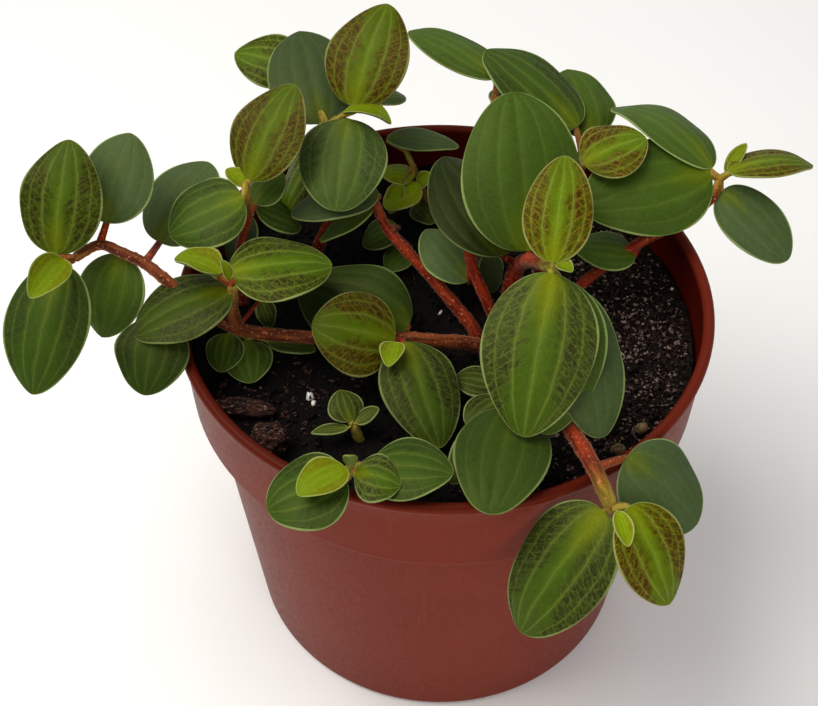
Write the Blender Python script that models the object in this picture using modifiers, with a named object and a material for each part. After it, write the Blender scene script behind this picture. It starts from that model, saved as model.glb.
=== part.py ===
"""Potted la laja peperomia: a nursery pot, its soil and a dozen leafy stems.

Units are metres and +Z is up. The origin is the middle of the pot's flat
underside, and -Y is the side that the plant is looked at from.
"""
import math

import bmesh
import bpy
from mathutils import Matrix, Vector, noise

MM = 0.001

# The pot: a thin round nursery pot with a plain collar and a rolled rim
POT_HEIGHT = 101.5 * MM
RIM_RADIUS = 60.8 * MM
BASE_RADIUS = 48.5 * MM
COLLAR_DROP = 22.0 * MM
COLLAR_STEP = 3.7 * MM
WALL = 1.2 * MM
FLOOR = 2.0 * MM
RIM_BEAD = 2.6 * MM
POT_FACETS = 38
DRAIN_HOLES = 6
DRAIN_RADIUS = 3.5 * MM
DRAIN_CIRCLE = 33.0 * MM
DRAIN_FACETS = 12

# The soil: a plug that fills the pot, with a crumbly top
SOIL_TOP = 89.0 * MM
SOIL_GAP = 0.35 * MM
SOIL_RINGS = 5
SOIL_FACETS = 40
SOIL_RELIEF = 1.1 * MM
SOIL_LUMP = 11.0 * MM
HOLE_CLEARANCE = 0.5 * MM

# Leaves: blade thickness, the common outline and how finely each size is drawn
BLADE = 1.0 * MM
WIDEST = 0.82
BLUNT = 0.58
ROUND = 0.5
SMALL = 13.2 * MM
ROWS = (0.08, 0.31, 0.61, 0.88)
COLUMNS = 4
SMALL_ROWS = (0.14, 0.48, 0.84)
SMALL_COLUMNS = 2
PETIOLE = 0.85 * MM
STEM_TAPER = 0.36
PETIOLE_REACH = 0.14
ROOT_DEPTH = 0.35 * MM

UP = Vector((0, 0, 1))


def mm(x, y, z):
    """A point given in millimetres."""
    return Vector((x, y, z)) * MM


def leaf(foot, tip, wide, roll=0, arch=0.07, cup=0.16, blunt=BLUNT):
    """A leaf: where its blade starts and ends, its width, and how it is turned and curved.

    arch is how high the midrib bows, over the length; cup is how far the edges
    turn down, over half the width, or up where it is negative; blunt is lower
    for a rounder outline.
    """
    return {"foot": mm(*foot), "tip": mm(*tip), "wide": wide * MM,
            "roll": math.radians(roll), "arch": arch, "cup": cup, "blunt": blunt}


# The long stem that leans left over the rim, with a tuft in the middle of the pot
STEM_LEFT = {
    "name": "stem_left",
    "thick": 3.4,
    "route": [(10, -9, 80), (10, -9, 89), (7, -9.5, 94), (-3, -11, 97), (-11, -11, 98),
              (-28, -12, 99), (-46, -11, 101), (-55, -9, 107), (-62, -5, 111),
              (-66, -2.5, 112.8), (-70.5, -1, 114.3), (-76, 1, 115), (-81, -4, 115.5)],
    "shoots": [[(-46, -11, 101), (-46.5, -11, 107), (-46, -9.5, 113)]],
    "leaves": [
        leaf((-84.5, -4, 117), (-81.5, 14, 134), 18.8),
        leaf((-83, -6, 116), (-90, -26, 96), 20),
        leaf((-82, -7, 118.5), (-86, -21, 121), 8, roll=-25, cup=-0.3),
        leaf((-75, 5, 118), (-69.5, 20, 131), 18),
        leaf((-65, 8.6, 109), (-54, 24.6, 119), 19, blunt=ROUND),
        leaf((-72, 1.2, 111.8), (-77, -10, 97), 16.5),
        leaf((-62, -15, 108.6), (-65, -28, 98.1), 16.7),
        leaf((-47, -9, 112), (-67.5, -17.5, 106.5), 18.5, blunt=ROUND),
        leaf((-47, -6, 113.5), (-25, -1, 111.5), 20.5),
        leaf((-48.5, -8, 115), (-58.5, -5, 117), 11, roll=20, cup=-0.3),
        leaf((-46.5, -9, 114), (-48, -8, 119), 3, cup=-0.2),
        leaf((-41, -4, 103), (-39, -7, 97), 5),
        leaf((-11, -15, 101.6), (-29, -14.4, 106.2), 20.3, roll=-22),
        leaf((-9, -15, 101), (-1.5, -39, 94), 17.2),
        leaf((-8, -9, 100), (-33, 1, 102), 22, roll=-20),
        leaf((-11, -16, 102), (-12.5, -24, 103), 5.5, cup=-0.3),
    ],
}

# The upright stem at the left of the pot, behind the long one
STEM_UPPER_LEFT = {
    "name": "stem_upper_left",
    "thick": 2.6,
    "route": [(-47, 8, 80), (-47, 8, 92), (-47, 11, 104), (-44.5, 14, 112),
              (-44.5, 15.5, 120)],
    "shoots": [],
    "leaves": [
        leaf((-44, 16, 121), (-34, 32.5, 135), 18, cup=0.1),
        leaf((-44.5, 15, 120), (-49, 18.5, 122), 5, cup=-0.2),
        leaf((-45, 11, 120.3), (-61.5, 5.8, 114.1), 18, roll=-15, blunt=ROUND),
        leaf((-43.5, 17, 113), (-37, 24, 116), 9),
        leaf((-45, 17, 110), (-50.5, 13, 98), 13),
        leaf((-43, 18, 112), (-33, 19, 104), 12),
    ],
}

# The stem at the back left, with the highest tuft
STEM_TOP = {
    "name": "stem_top",
    "thick": 3.4,
    "route": [(-31, 22, 80), (-31, 22, 90), (-29.5, 21.5, 96), (-26.5, 24, 103),
              (-25.5, 31, 113), (-27, 33, 122)],
    "shoots": [],
    "leaves": [
        leaf((-21, 36, 126), (-13, 55, 141), 20, cup=0.08),
        leaf((-22, 32, 125.5), (-24.5, 12, 115.3), 20.5, blunt=ROUND),
        leaf((-28.5, 35.6, 121.5), (-34.5, 61, 129.5), 20.5, blunt=ROUND),
        leaf((-33.5, 54.5, 123), (-50.5, 59.5, 124), 14.5, roll=-25),
        leaf((-23, 34, 126), (-12, 30.5, 125.5), 8.5, roll=-20, arch=0.15, cup=-0.2),
        leaf((-20.5, 48, 119.6), (-9, 56, 114), 10, blunt=ROUND),
        leaf((-28.5, 32.2, 116.8), (-38, 27.2, 100.8), 14),
    ],
}

# The thick stem that leans back and left from the crown
STEM_BACK_LEFT = {
    "name": "stem_back_left",
    "thick": 3.4,
    "route": [(7.5, -2.5, 80), (7.5, -2.5, 90), (2, 3, 95), (-4, 9, 99), (-13, 16, 106),
              (-16, 19, 112)],
    "shoots": [],
    "leaves": [
        leaf((-15, 19.4, 114), (-35.5, 18, 109), 12.5),
        leaf((-16.3, 19.6, 109.4), (-29.3, 18.6, 100), 7.5),
        leaf((-11, 26, 98), (-19.5, 23.5, 94), 10),
        leaf((-8, 22, 95), (-13.5, 17, 91.5), 8),
    ],
}

# The pale young shoot near the back wall
SHOOT_BACK = {
    "name": "shoot_back",
    "thick": 2.0,
    "route": [(-4, 42, 80), (-4, 42, 90), (-5, 42, 97), (-7, 43, 102), (-9, 45, 106)],
    "shoots": [],
    "leaves": [
        leaf((-7, 41, 101), (-15, 41.5, 101.5), 8),
        leaf((-5.6, 38.6, 100.4), (-14, 33, 97.4), 9.5),
        leaf((-6, 38.6, 99.3), (-2, 39.5, 102.4), 5.5, cup=-0.2),
        leaf((-13.5, 47.5, 107.5), (4.3, 45.5, 106.5), 8.5),
        leaf((-6, 40.5, 92), (-2.3, 33, 92), 7),
        leaf((-10, 37.8, 101.2), (-12.7, 32.8, 95.5), 5, cup=-0.2),
    ],
}

# The stem that rises behind the big leaves and ends over the back rim
STEM_BACK = {
    "name": "stem_back",
    "thick": 3.2,
    "route": [(13, -2.5, 80), (13, -2.5, 90), (11.5, -2, 95), (6, 6, 106), (5, 22, 113),
              (12, 44, 118)],
    "shoots": [],
    "leaves": [
        leaf((6, 4.3, 101), (-4, 18.3, 104), 14),
        leaf((10, 10, 104), (12, 7, 94), 7),
        leaf((13.5, 55.5, 119.7), (-8, 78, 118), 13),
        leaf((14, 46, 118), (24, 62, 112), 13),
    ],
}

# The stem at the back right
STEM_BACK_RIGHT = {
    "name": "stem_back_right",
    "thick": 3.0,
    "route": [(22, 10, 80), (22, 10, 92), (25, 18, 100), (31, 27, 108), (33, 32, 114)],
    "shoots": [],
    "leaves": [
        leaf((32, 40, 117), (11, 60, 125), 18, blunt=ROUND),
        leaf((35.5, 40, 114), (31, 60, 119), 17),
        leaf((32, 25, 118.2), (46.5, 29.8, 122), 18.3, cup=0.08),
    ],
}

# The stem with the biggest leaves, which stands up and leans forward
STEM_FRONT = {
    "name": "stem_front",
    "thick": 4.2,
    "route": [(17, 2, 80), (17, 2, 92), (15, 1, 100), (15.5, 1.5, 105), (16.5, 0.5, 109.5),
              (18, -4, 115), (20, -12, 122), (21, -18, 126.5)],
    "shoots": [],
    "leaves": [
        leaf((13, 0, 113), (0, 28, 118), 21),
        leaf((18, -3, 117), (15, 25, 138.5), 27, cup=0.12, blunt=ROUND),
        leaf((21, -19, 129), (24, -1, 142), 14.5, cup=0.08),
        leaf((21, -20, 127), (15, -46, 106.2), 23.5),
        leaf((23, -19.3, 124.6), (20, -44.7, 105.2), 21),
        leaf((24.2, -18, 120.4), (31, -45.4, 105.3), 16.8, blunt=ROUND),
        leaf((22, -19, 129), (25, -21.5, 129), 3.6, cup=-0.2),
    ],
}

# The stem that leaves over the right of the rim
STEM_RIGHT = {
    "name": "stem_right",
    "thick": 3.0,
    "route": [(24, 1, 80), (24, 1, 90), (27, 3, 93), (33, 8, 97), (45, 14, 103),
              (55, 16.5, 108), (62, 20, 112), (63.5, 23, 115)],
    "shoots": [],
    "leaves": [
        leaf((61.5, 24.5, 116), (31.5, 16, 113), 24.5, roll=-25),
        leaf((62, 26, 116), (41, 46.5, 118), 17.5, roll=15, arch=0.15),
        leaf((65, 22.5, 118), (86, 28, 115.5), 11, roll=-5, arch=0.1),
        leaf((64.2, 21.3, 113), (79.3, 8.7, 103.2), 14.6, roll=18, blunt=ROUND),
        leaf((65, 24, 116), (70, 30, 120), 3.5, cup=-0.2),
        leaf((44.5, 12, 102), (30, 12, 104), 13),
    ],
}

# The stem that leans forward and hangs over the front right of the rim
STEM_FRONT_RIGHT = {
    "name": "stem_front_right",
    "thick": 4.6,
    "route": [(19.4, -11.3, 80), (19.4, -11.3, 90), (21, -20, 95), (24, -33, 99.5),
              (25.5, -43, 104), (28.5, -54.5, 107), (31.5, -62, 104)],
    "shoots": [],
    "leaves": [
        leaf((30, -62, 103), (14, -75, 80), 21, blunt=ROUND),
        leaf((35, -62.2, 104.8), (43.8, -74, 88.3), 16.3, cup=0.08),
        leaf((36, -49.6, 104.5), (50.3, -59.1, 94.8), 22.2, blunt=ROUND),
        leaf((32.5, -63, 104.5), (34.5, -69, 101), 4, cup=-0.2),
    ],
}

# The low stem with the round dark leaf on the front rim
STEM_FRONT_LOW = {
    "name": "stem_front_low",
    "thick": 2.8,
    "route": [(13, -17, 80), (13, -17, 90), (13, -21, 93.5), (13.8, -29, 98), (14, -35, 102)],
    "shoots": [],
    "leaves": [
        leaf((13.6, -36, 103.4), (7.6, -62.6, 103.5), 19.7, arch=0.04, cup=0.06, blunt=ROUND),
        leaf((11, -23, 96), (2, -21, 96), 9),
        leaf((12, -28, 97), (4, -34, 96), 9),
        leaf((12, -35, 100), (0.5, -52, 99), 10),
    ],
}

# The short shoot that spreads over the front left of the rim
SHOOT_FRONT_LEFT = {
    "name": "shoot_front_left",
    "thick": 2.4,
    "route": [(-13, -42, 80), (-13, -42, 90), (-15.5, -47, 98), (-19, -53, 105.5)],
    "shoots": [],
    "leaves": [
        leaf((-20.5, -56, 106.5), (-36, -61, 102.5), 18.5, blunt=ROUND),
        leaf((-20.5, -55, 108), (-29.5, -62, 108.5), 9, cup=-0.15),
        leaf((-19.5, -54, 107), (-19.5, -55, 112), 3, cup=-0.2),
        leaf((-18.5, -55, 106.5), (-9.5, -57, 105), 12),
        leaf((-16, -50.5, 102.6), (0.7, -54.5, 105.6), 16),
    ],
}

# A seedling between the tuft and the front left shoot
SEEDLING = {
    "name": "seedling",
    "thick": 3.0,
    "route": [(-18.5, -33.5, 80), (-18.5, -33.5, 88), (-20, -33, 94.5)],
    "shoots": [],
    "leaves": [
        leaf((-20.5, -33, 95.3), (-23, -26, 97.6), 8),
        leaf((-21, -34, 94.5), (-29, -34.5, 93.5), 3.2),
        leaf((-19.5, -33, 95), (-14.5, -30.5, 97), 4),
    ],
}

# A small old shoot below the long stem, near the left wall
SHOOT_LOW_LEFT = {
    "name": "shoot_low_left",
    "thick": 1.8,
    "route": [(-42, -6, 80), (-42, -6, 90), (-43.5, -7.5, 95)],
    "shoots": [],
    "leaves": [
        leaf((-48.5, -9, 97.3), (-50, -17.3, 93.5), 9),
        leaf((-45, -9, 95), (-43, -19.5, 92.5), 11.5),
        leaf((-40, -8, 94), (-29, -10, 93), 6),
    ],
}

STEMS = [STEM_LEFT, STEM_UPPER_LEFT, STEM_TOP, STEM_BACK_LEFT, SHOOT_BACK, STEM_BACK,
         STEM_BACK_RIGHT, STEM_FRONT, STEM_RIGHT, STEM_FRONT_RIGHT, STEM_FRONT_LOW,
         SHOOT_FRONT_LEFT, SEEDLING, SHOOT_LOW_LEFT]

# Loose pieces on the soil: name, middle, half sizes, turn in degrees and colour
LOOSE = [
    ("bark_chip", (-44, -25.5, 91.0), (7.5, 2.6, 1.9), -8, (0.10, 0.035, 0.02)),
    ("root_ball", (-38, -36, 92.5), (4.6, 4.2, 4.3), 0, (0.13, 0.045, 0.03)),
    ("pebble_a", (42.5, -31, 90.6), (1.6, 1.3, 1.2), 30, (0.32, 0.24, 0.13)),
    ("pebble_b", (37, -37, 90.6), (1.7, 1.5, 1.3), -20, (0.32, 0.24, 0.13)),
]


def collection(name):
    """A new collection in the scene."""
    group = bpy.data.collections.new(name)
    bpy.context.scene.collection.children.link(group)
    return group


def finish(thing, colour, roughness):
    """Give a piece its own material."""
    material = bpy.data.materials.new(thing.name)
    material.use_nodes = True
    shader = material.node_tree.nodes["Principled BSDF"]
    shader.inputs["Base Color"].default_value = (*colour, 1)
    shader.inputs["Roughness"].default_value = roughness
    shader.inputs["Metallic"].default_value = 0
    thing.data.materials.clear()
    thing.data.materials.append(material)


def add_object(name, mesh, group):
    """A new object for a mesh, in a collection."""
    thing = bpy.data.objects.new(name, mesh)
    group.objects.link(thing)
    return thing


def baked(thing, name, group, weld=True):
    """Replace an object by a mesh of its evaluated shape, in world space, with no stray points."""
    depsgraph = bpy.context.evaluated_depsgraph_get()
    mesh = bpy.data.meshes.new_from_object(thing.evaluated_get(depsgraph))
    mesh.transform(thing.matrix_world)
    bpy.data.objects.remove(thing)
    shape = bmesh.new()
    shape.from_mesh(mesh)
    if weld:
        bmesh.ops.remove_doubles(shape, verts=shape.verts, dist=0.001 * MM)
    stray = [vertex for vertex in shape.verts if not vertex.link_faces]
    bmesh.ops.delete(shape, geom=stray, context="VERTS")
    shape.to_mesh(mesh)
    shape.free()
    return add_object(name, mesh, group)


def tube(name, points, radii, group, smooth=True):
    """A closed tube along points, as a mesh object."""
    curve = bpy.data.curves.new(name, "CURVE")
    curve.dimensions = "3D"
    curve.bevel_depth = 1.0
    curve.bevel_resolution = 1 if smooth else 0
    curve.use_fill_caps = True
    if smooth:
        curve.resolution_u = 2
        spline = curve.splines.new("BEZIER")
        spline.bezier_points.add(len(points) - 1)
        for knot, point, radius in zip(spline.bezier_points, points, radii):
            knot.co = point
            knot.radius = radius
            knot.handle_left_type = "AUTO"
            knot.handle_right_type = "AUTO"
    else:
        spline = curve.splines.new("POLY")
        spline.points.add(len(points) - 1)
        for knot, point, radius in zip(spline.points, points, radii):
            knot.co = (*point, 1)
            knot.radius = radius
    thing = add_object(name, curve, group)
    bpy.context.view_layer.update()
    return baked(thing, name, group)


def turned(name, profile, facets, group):
    """A turned shape from a profile of (radius, height) points, outer side first."""
    mesh = bpy.data.meshes.new(name)
    edges = [(i, i + 1) for i in range(len(profile) - 1)]
    mesh.from_pydata([(r, 0, z) for r, z in profile], edges, [])
    thing = add_object(name, mesh, group)
    screw = thing.modifiers.new("Turn", "SCREW")
    screw.steps = facets
    screw.render_steps = facets
    screw.use_merge_vertices = True
    screw.merge_threshold = 0.01 * MM
    screw.use_normal_calculate = True
    return thing


def cut(thing, cutter, operation="DIFFERENCE"):
    """Add a Boolean with one cutter object."""
    modifier = thing.modifiers.new("Cut", "BOOLEAN")
    modifier.operation = operation
    modifier.solver = "EXACT"
    modifier.object = cutter
    cutter.hide_render = True
    cutter.display_type = "WIRE"


def outer_radius(z):
    """The pot body's outer radius below the collar."""
    collar_low = POT_HEIGHT - COLLAR_DROP
    top = RIM_RADIUS - 1.6 * MM - COLLAR_STEP
    return BASE_RADIUS + (top - BASE_RADIUS) * z / collar_low


def make_pot(parts, cutters):
    """The pot: body, collar, rolled rim and drain holes."""
    top = POT_HEIGHT
    step = top - COLLAR_DROP
    lip = RIM_RADIUS - RIM_BEAD
    collar_high = RIM_RADIUS - 0.9 * MM
    collar_low = RIM_RADIUS - 1.6 * MM
    profile = [
        (lip + 1.3 * MM, top),
        (RIM_RADIUS - 0.4 * MM, top - 0.4 * MM),
        (RIM_RADIUS, top - 1.4 * MM),
        (RIM_RADIUS - 0.2 * MM, top - 2.6 * MM),
        (collar_high, top - 3.2 * MM),
        (collar_low, step + 1.0 * MM),
        (collar_low - 0.4 * MM, step),
        (outer_radius(step - 0.8 * MM), step - 0.8 * MM),
        (outer_radius(45 * MM), 45 * MM),
        (outer_radius(2 * MM), 2 * MM),
        (BASE_RADIUS - 1.2 * MM, 0.4 * MM),
        (BASE_RADIUS - 2.2 * MM, 0),
        (0, 0),
    ]
    inner = [
        (0, FLOOR),
        (outer_radius(FLOOR) - WALL - 1.0 * MM, FLOOR),
        (outer_radius(4 * MM) - WALL, 4 * MM),
        (outer_radius(step - 2 * MM) - WALL, step - 2 * MM),
        (collar_low - WALL, step),
        (collar_high - WALL - 0.2 * MM, top - 3.2 * MM),
        (lip, top - 1.2 * MM),
        (lip + 0.4 * MM, top - 0.3 * MM),
        (lip + 1.3 * MM, top),
    ]
    pot = turned("pot", profile + inner, POT_FACETS, parts)
    for number in range(DRAIN_HOLES):
        turn = 2 * math.pi * number / DRAIN_HOLES
        place = (DRAIN_CIRCLE * math.cos(turn), DRAIN_CIRCLE * math.sin(turn), FLOOR / 2)
        bpy.ops.mesh.primitive_cylinder_add(vertices=DRAIN_FACETS, radius=DRAIN_RADIUS,
                                            depth=FLOOR * 3, location=place)
        hole = bpy.context.object
        hole.name = f"drain_cutter_{number}"
        move_to(hole, cutters)
        cut(pot, hole)
    finish(pot, (0.24, 0.065, 0.035), 0.45)
    shade(pot, 35)
    return pot


def move_to(thing, group):
    """Put an object in one collection only."""
    for old in list(thing.users_collection):
        old.objects.unlink(thing)
    group.objects.link(thing)


def shade(thing, angle):
    """Smooth shading, sharp above an angle in degrees."""
    thing.data.shade_smooth()
    thing.data.set_sharp_from_angle(angle=math.radians(angle))


def soil_height(x, y):
    """The height of the soil's crumbly top at a place."""
    broad = noise.noise(Vector((x, y, 0)) / (SOIL_LUMP * 2))
    fine = noise.noise(Vector((x, y, 5 * MM)) / (SOIL_LUMP * 0.6))
    return SOIL_TOP + SOIL_RELIEF * (0.7 * broad + 0.8 * fine)


def make_soil(parts, cutters, stems, loose):
    """The soil: a plug with a plain hole for each stem and a seat for each loose piece."""
    step = POT_HEIGHT - COLLAR_DROP
    low = FLOOR + SOIL_GAP
    wall = WALL + SOIL_GAP
    collar = RIM_RADIUS - 1.6 * MM - wall - 0.15 * MM
    edge = RIM_RADIUS - 1.5 * MM - wall
    rings = [(edge * k / SOIL_RINGS, SOIL_TOP) for k in range(SOIL_RINGS)]
    profile = rings + [
        (edge, SOIL_TOP),
        (collar, step + 0.4 * MM),
        (outer_radius(step - 2 * MM) - wall, step - 2.2 * MM),
        (outer_radius(5 * MM) - wall, 5 * MM),
        (outer_radius(low) - wall - 1.2 * MM, low),
        (0, low),
    ]
    soil = baked(turned("soil_plug", profile, SOIL_FACETS, parts), "soil", parts)
    for vertex in soil.data.vertices:
        if vertex.co.z > SOIL_TOP - 0.01 * MM:
            vertex.co.z = soil_height(vertex.co.x, vertex.co.y)
    for stem in stems:
        radius = stem["thick"] * MM / 2 + HOLE_CLEARANCE
        points = [mm(*point) for point in stem["route"]]
        hole = tube(stem["name"] + "_hole", points[:4], [radius] * 4, cutters)
        cut(soil, hole)
    for name, middle, half, turn, _ in loose:
        seat = pebble(name + "_seat", middle, [h + 0.35 for h in half], turn, cutters)
        cut(soil, seat)
    finish(soil, (0.012, 0.01, 0.009), 0.95)
    return soil


def pebble(name, middle, half, turn, group):
    """A knobbly lump from a sphere, with half sizes in millimetres."""
    bpy.ops.mesh.primitive_ico_sphere_add(subdivisions=2, radius=1.0, location=(0, 0, 0))
    thing = bpy.context.object
    thing.name = name
    move_to(thing, group)
    thing.data.transform(Matrix.Diagonal((half[0] * MM, half[1] * MM, half[2] * MM, 1)))
    thing.location = mm(*middle)
    thing.rotation_euler = (0, 0, math.radians(turn))
    return thing


def spread(u, blunt):
    """Half of a blade's width along its length, as a share of the widest."""
    return math.sin(math.pi * u ** WIDEST) ** blunt


def blade_axes(one):
    """A blade's length and its three directions: along, across and out of its face."""
    along = one["tip"] - one["foot"]
    length = along.length
    along.normalize()
    across = along.cross(UP).normalized()
    across.rotate(Matrix.Rotation(one["roll"], 3, along))
    face = across.cross(along)
    return length, along, across, face


def blade_point(one, u, s, sink=0.0):
    """A point on a blade's upper face, at u along it and s across it."""
    length, along, across, face = blade_axes(one)
    half = one["wide"] / 2 * spread(u, one["blunt"]) if 0 < u < 1 else 0
    rise = one["arch"] * length * 4 * u * (1 - u) - one["cup"] * half * s * s
    return one["foot"] + along * (length * u) + across * (half * s) + face * (rise - sink)


def make_blade(name, one, group):
    """A leaf blade: an open face of triangles, thickened on its underside."""
    small = one["wide"] < SMALL
    columns = SMALL_COLUMNS if small else COLUMNS
    steps = [2 * k / columns - 1 for k in range(columns + 1)]
    shape = bmesh.new()
    foot = shape.verts.new(blade_point(one, 0, 0))
    rows = []
    for u in SMALL_ROWS if small else ROWS:
        rows.append([shape.verts.new(blade_point(one, u, s)) for s in steps])
    tip = shape.verts.new(blade_point(one, 1, 0))
    for k in range(columns):
        shape.faces.new((foot, rows[0][k + 1], rows[0][k]))
        shape.faces.new((tip, rows[-1][k], rows[-1][k + 1]))
        for low, high in zip(rows, rows[1:]):
            shape.faces.new((low[k], low[k + 1], high[k + 1]))
            shape.faces.new((low[k], high[k + 1], high[k]))
    bmesh.ops.recalc_face_normals(shape, faces=shape.faces)
    face = blade_axes(one)[3]
    if sum((f.normal * f.calc_area() for f in shape.faces), Vector()).dot(face) < 0:
        bmesh.ops.reverse_faces(shape, faces=shape.faces)
    mesh = bpy.data.meshes.new(name)
    shape.to_mesh(mesh)
    shape.free()
    thing = add_object(name, mesh, group)
    solid = thing.modifiers.new("Thick", "SOLIDIFY")
    solid.thickness = BLADE
    solid.offset = -1
    bpy.context.view_layer.update()
    return baked(thing, name, group)


def nearest(points, place):
    """The point nearest to a place."""
    return min(points, key=lambda point: (point - place).length)


def make_petiole(name, one, joints, group):
    """A leaf's stalk, from the stem's nearest joint into the blade's foot."""
    joint = nearest(joints, one["foot"])
    start = joint - (one["foot"] - joint).normalized() * ROOT_DEPTH
    inside = [blade_point(one, u, 0, BLADE / 2) for u in (0.03, PETIOLE_REACH)]
    thick = min(PETIOLE, one["wide"] * 0.1)
    points = [start] + inside
    radii = [thick * 1.05, thick, BLADE * 0.25]
    return tube(name, points, radii, group, smooth=False)


def make_stem(stem, parts):
    """A leafy stem: its main axis, side shoots, stalks and blades joined into one body."""
    name = stem["name"]
    radius = stem["thick"] * MM / 2
    route = [mm(*point) for point in stem["route"]]
    last = len(route) - 1
    radii = [radius * (1 - STEM_TAPER * k / last) for k in range(last + 1)]
    group = collection(name + "_pieces")
    body = tube(name, route, radii, parts)
    joints = list(route)
    for number, shoot in enumerate(stem["shoots"]):
        points = [mm(*point) for point in shoot]
        joints += points
        tube(f"{name}_shoot_{number}", points, [radius * 0.85] * len(points), group)
    for number, one in enumerate(stem["leaves"]):
        make_petiole(f"{name}_petiole_{number}", one, joints[2:], group)
        make_blade(f"{name}_blade_{number}", one, group)
    union = body.modifiers.new("Join", "BOOLEAN")
    union.operation = "UNION"
    union.operand_type = "COLLECTION"
    union.collection = group
    union.solver = "EXACT"
    bpy.context.view_layer.update()
    body = baked(body, name, parts, weld=False)
    body.name = name
    for piece in list(group.objects):
        bpy.data.objects.remove(piece)
    bpy.data.collections.remove(group)
    finish(body, (0.07, 0.14, 0.03), 0.5)
    return body


def main():
    """Build the whole potted plant."""
    for thing in list(bpy.data.objects):
        bpy.data.objects.remove(thing)
    parts = collection("potted_peperomia")
    cutters = collection("cutters")
    make_pot(parts, cutters)
    make_soil(parts, cutters, STEMS, LOOSE)
    for stem in STEMS:
        make_stem(stem, parts)
    for name, middle, half, turn, colour in LOOSE:
        piece = pebble(name, middle, half, turn, parts)
        finish(piece, colour, 0.9)


main()
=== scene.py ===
"""Potted la laja peperomia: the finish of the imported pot, soil and leafy stems.

Leaf, stem and soil shapes are worked out in millimetres, in the part's own frame
(+Z up, -Y toward the viewer, origin in the middle of the pot's underside), and
are turned into metres when a mesh is made.
"""
import math

import bpy
import numpy as np
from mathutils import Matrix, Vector, noise


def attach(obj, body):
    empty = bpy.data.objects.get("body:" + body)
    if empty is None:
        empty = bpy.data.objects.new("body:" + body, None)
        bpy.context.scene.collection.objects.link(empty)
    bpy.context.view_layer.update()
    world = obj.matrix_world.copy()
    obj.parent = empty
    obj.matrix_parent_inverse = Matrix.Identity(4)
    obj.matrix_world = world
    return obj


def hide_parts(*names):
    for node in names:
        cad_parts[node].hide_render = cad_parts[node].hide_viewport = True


MM = 0.001
UP = np.array((0.0, 0.0, 1.0))

# The camera: the photo is 818 x 706, seen from 47.7 degrees above
PHOTO_WIDTH = 818
FOCAL_PIXELS = 1390.0
SENSOR = 36.0
CAMERA_PLACE = (-8.0, -222.1, 324.9)
CAMERA_AIM = (-8.0, 0.0, 80.8)

# The pot, in millimetres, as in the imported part
POT_HEIGHT = 101.5
RIM_RADIUS = 60.8
BASE_RADIUS = 48.5
COLLAR_DROP = 22.0
COLLAR_STEP = 3.7
COLLAR_HIGH = RIM_RADIUS - 0.9
COLLAR_LOW = RIM_RADIUS - 1.6
WALL = 1.2
FLOOR = 2.0
RIM_BEAD = 2.6
RIM_ROUND = 1.25
DRAIN_HOLES = 6
DRAIN_RADIUS = 3.5
DRAIN_CIRCLE = 33.0
POT_SIDES = 160

# The soil, in millimetres, with how finely it is made and how many loose fibres it has
SOIL_TOP = 89.0
SOIL_RADIUS = 57.6
SOIL_DEPTH = 7.0
SOIL_RINGS = 60
SOIL_SIDES = 160
LUMP_KINDS = 6
FIBRES = 100
FIBRE_SIDES = 5

# Leaf outline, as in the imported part, and the finer shape that is added here: thickness at
# the middle and the edge, where the veins run, and how deep and wide they press in
WIDEST = 0.82
BLUNT = 0.58
ROUND = 0.5
BLADE = 0.9
EDGE = 0.22
INNER_VEIN = 0.40
OUTER_VEIN = 0.74
MIDRIB_DEPTH = 0.24
INNER_DEPTH = 0.13
OUTER_DEPTH = 0.07
GROOVE = 0.85
PETIOLE = 0.85

# The stems, and their hairs: how many to a millimetre of stem, and their size
STEM_TAPER = 0.36
STEM_SIDES = 14
STEM_LUMPS = 0.01
STALK_SIDES = 10
HAIRS = 14
HAIR_LENGTH = 0.65
HAIR_RADIUS = 0.028

# The leaves' markings: share of the half width, core and band in millimetres and strength of
# the long veins, and then the slant and fineness of the net and the gap between side veins
VEIN_LINES = [(0.0, 0.42, 1.7, 1.0), (INNER_VEIN, 0.38, 1.2, 1.0), (OUTER_VEIN, 0.28, 0.7, 0.7)]
NET_TURN = 38
NET_CELLS = 0.85
SMALL_CELLS = 2.2
RIB_GAP = 2.3

# How bright the surround is, beside the lights
SURROUND = 0.38

# The looks of the leaves: the colours of the middle strip, of the darker sides and of the net
# between the veins, and how strong the net, the yellow foot and the grey bloom are; the grey bloom
# is partly the leaves' own bloom and partly a painted sheen
YOUNG = {"strip": (82, 110, 0), "side": (54, 28, 2), "line": (124, 84, 14),
         "net": 0.95, "glow": 0.8, "bloom": 0.0}
TURNING = {"strip": (66, 94, 2), "side": (32, 30, 4), "line": (94, 92, 20),
           "net": 0.85, "glow": 0.6, "bloom": 0.0}
VEINED = {"strip": (66, 92, 8), "side": (38, 38, 14), "line": (92, 104, 42),
          "net": 0.8, "glow": 0.95, "bloom": 0.05}
MIDDLE = {"strip": (50, 74, 10), "side": (36, 50, 12), "line": (68, 88, 26),
          "net": 0.5, "glow": 0.4, "bloom": 0.05}
MATURE = {"strip": (58, 82, 14), "side": (50, 70, 14), "line": (84, 106, 42),
          "net": 0.22, "glow": 0.35, "bloom": 0.1}
GLOSSY = {"strip": (38, 56, 12), "side": (26, 40, 8), "line": (62, 80, 32),
          "net": 0.3, "glow": 0.5, "bloom": 0.0}
OLD = {"strip": (62, 80, 36), "side": (56, 74, 34), "line": (98, 122, 66),
       "net": 0.15, "glow": 0.3, "bloom": 0.5}
LIME = {"strip": (100, 122, 2), "side": (96, 98, 2), "line": (130, 124, 16),
        "net": 0.4, "glow": 0.5, "bloom": 0.0}
NETTED = {"strip": (70, 92, 34), "side": (46, 60, 24), "line": (104, 120, 62),
          "net": 0.5, "glow": 0.3, "bloom": 0.1}
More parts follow.
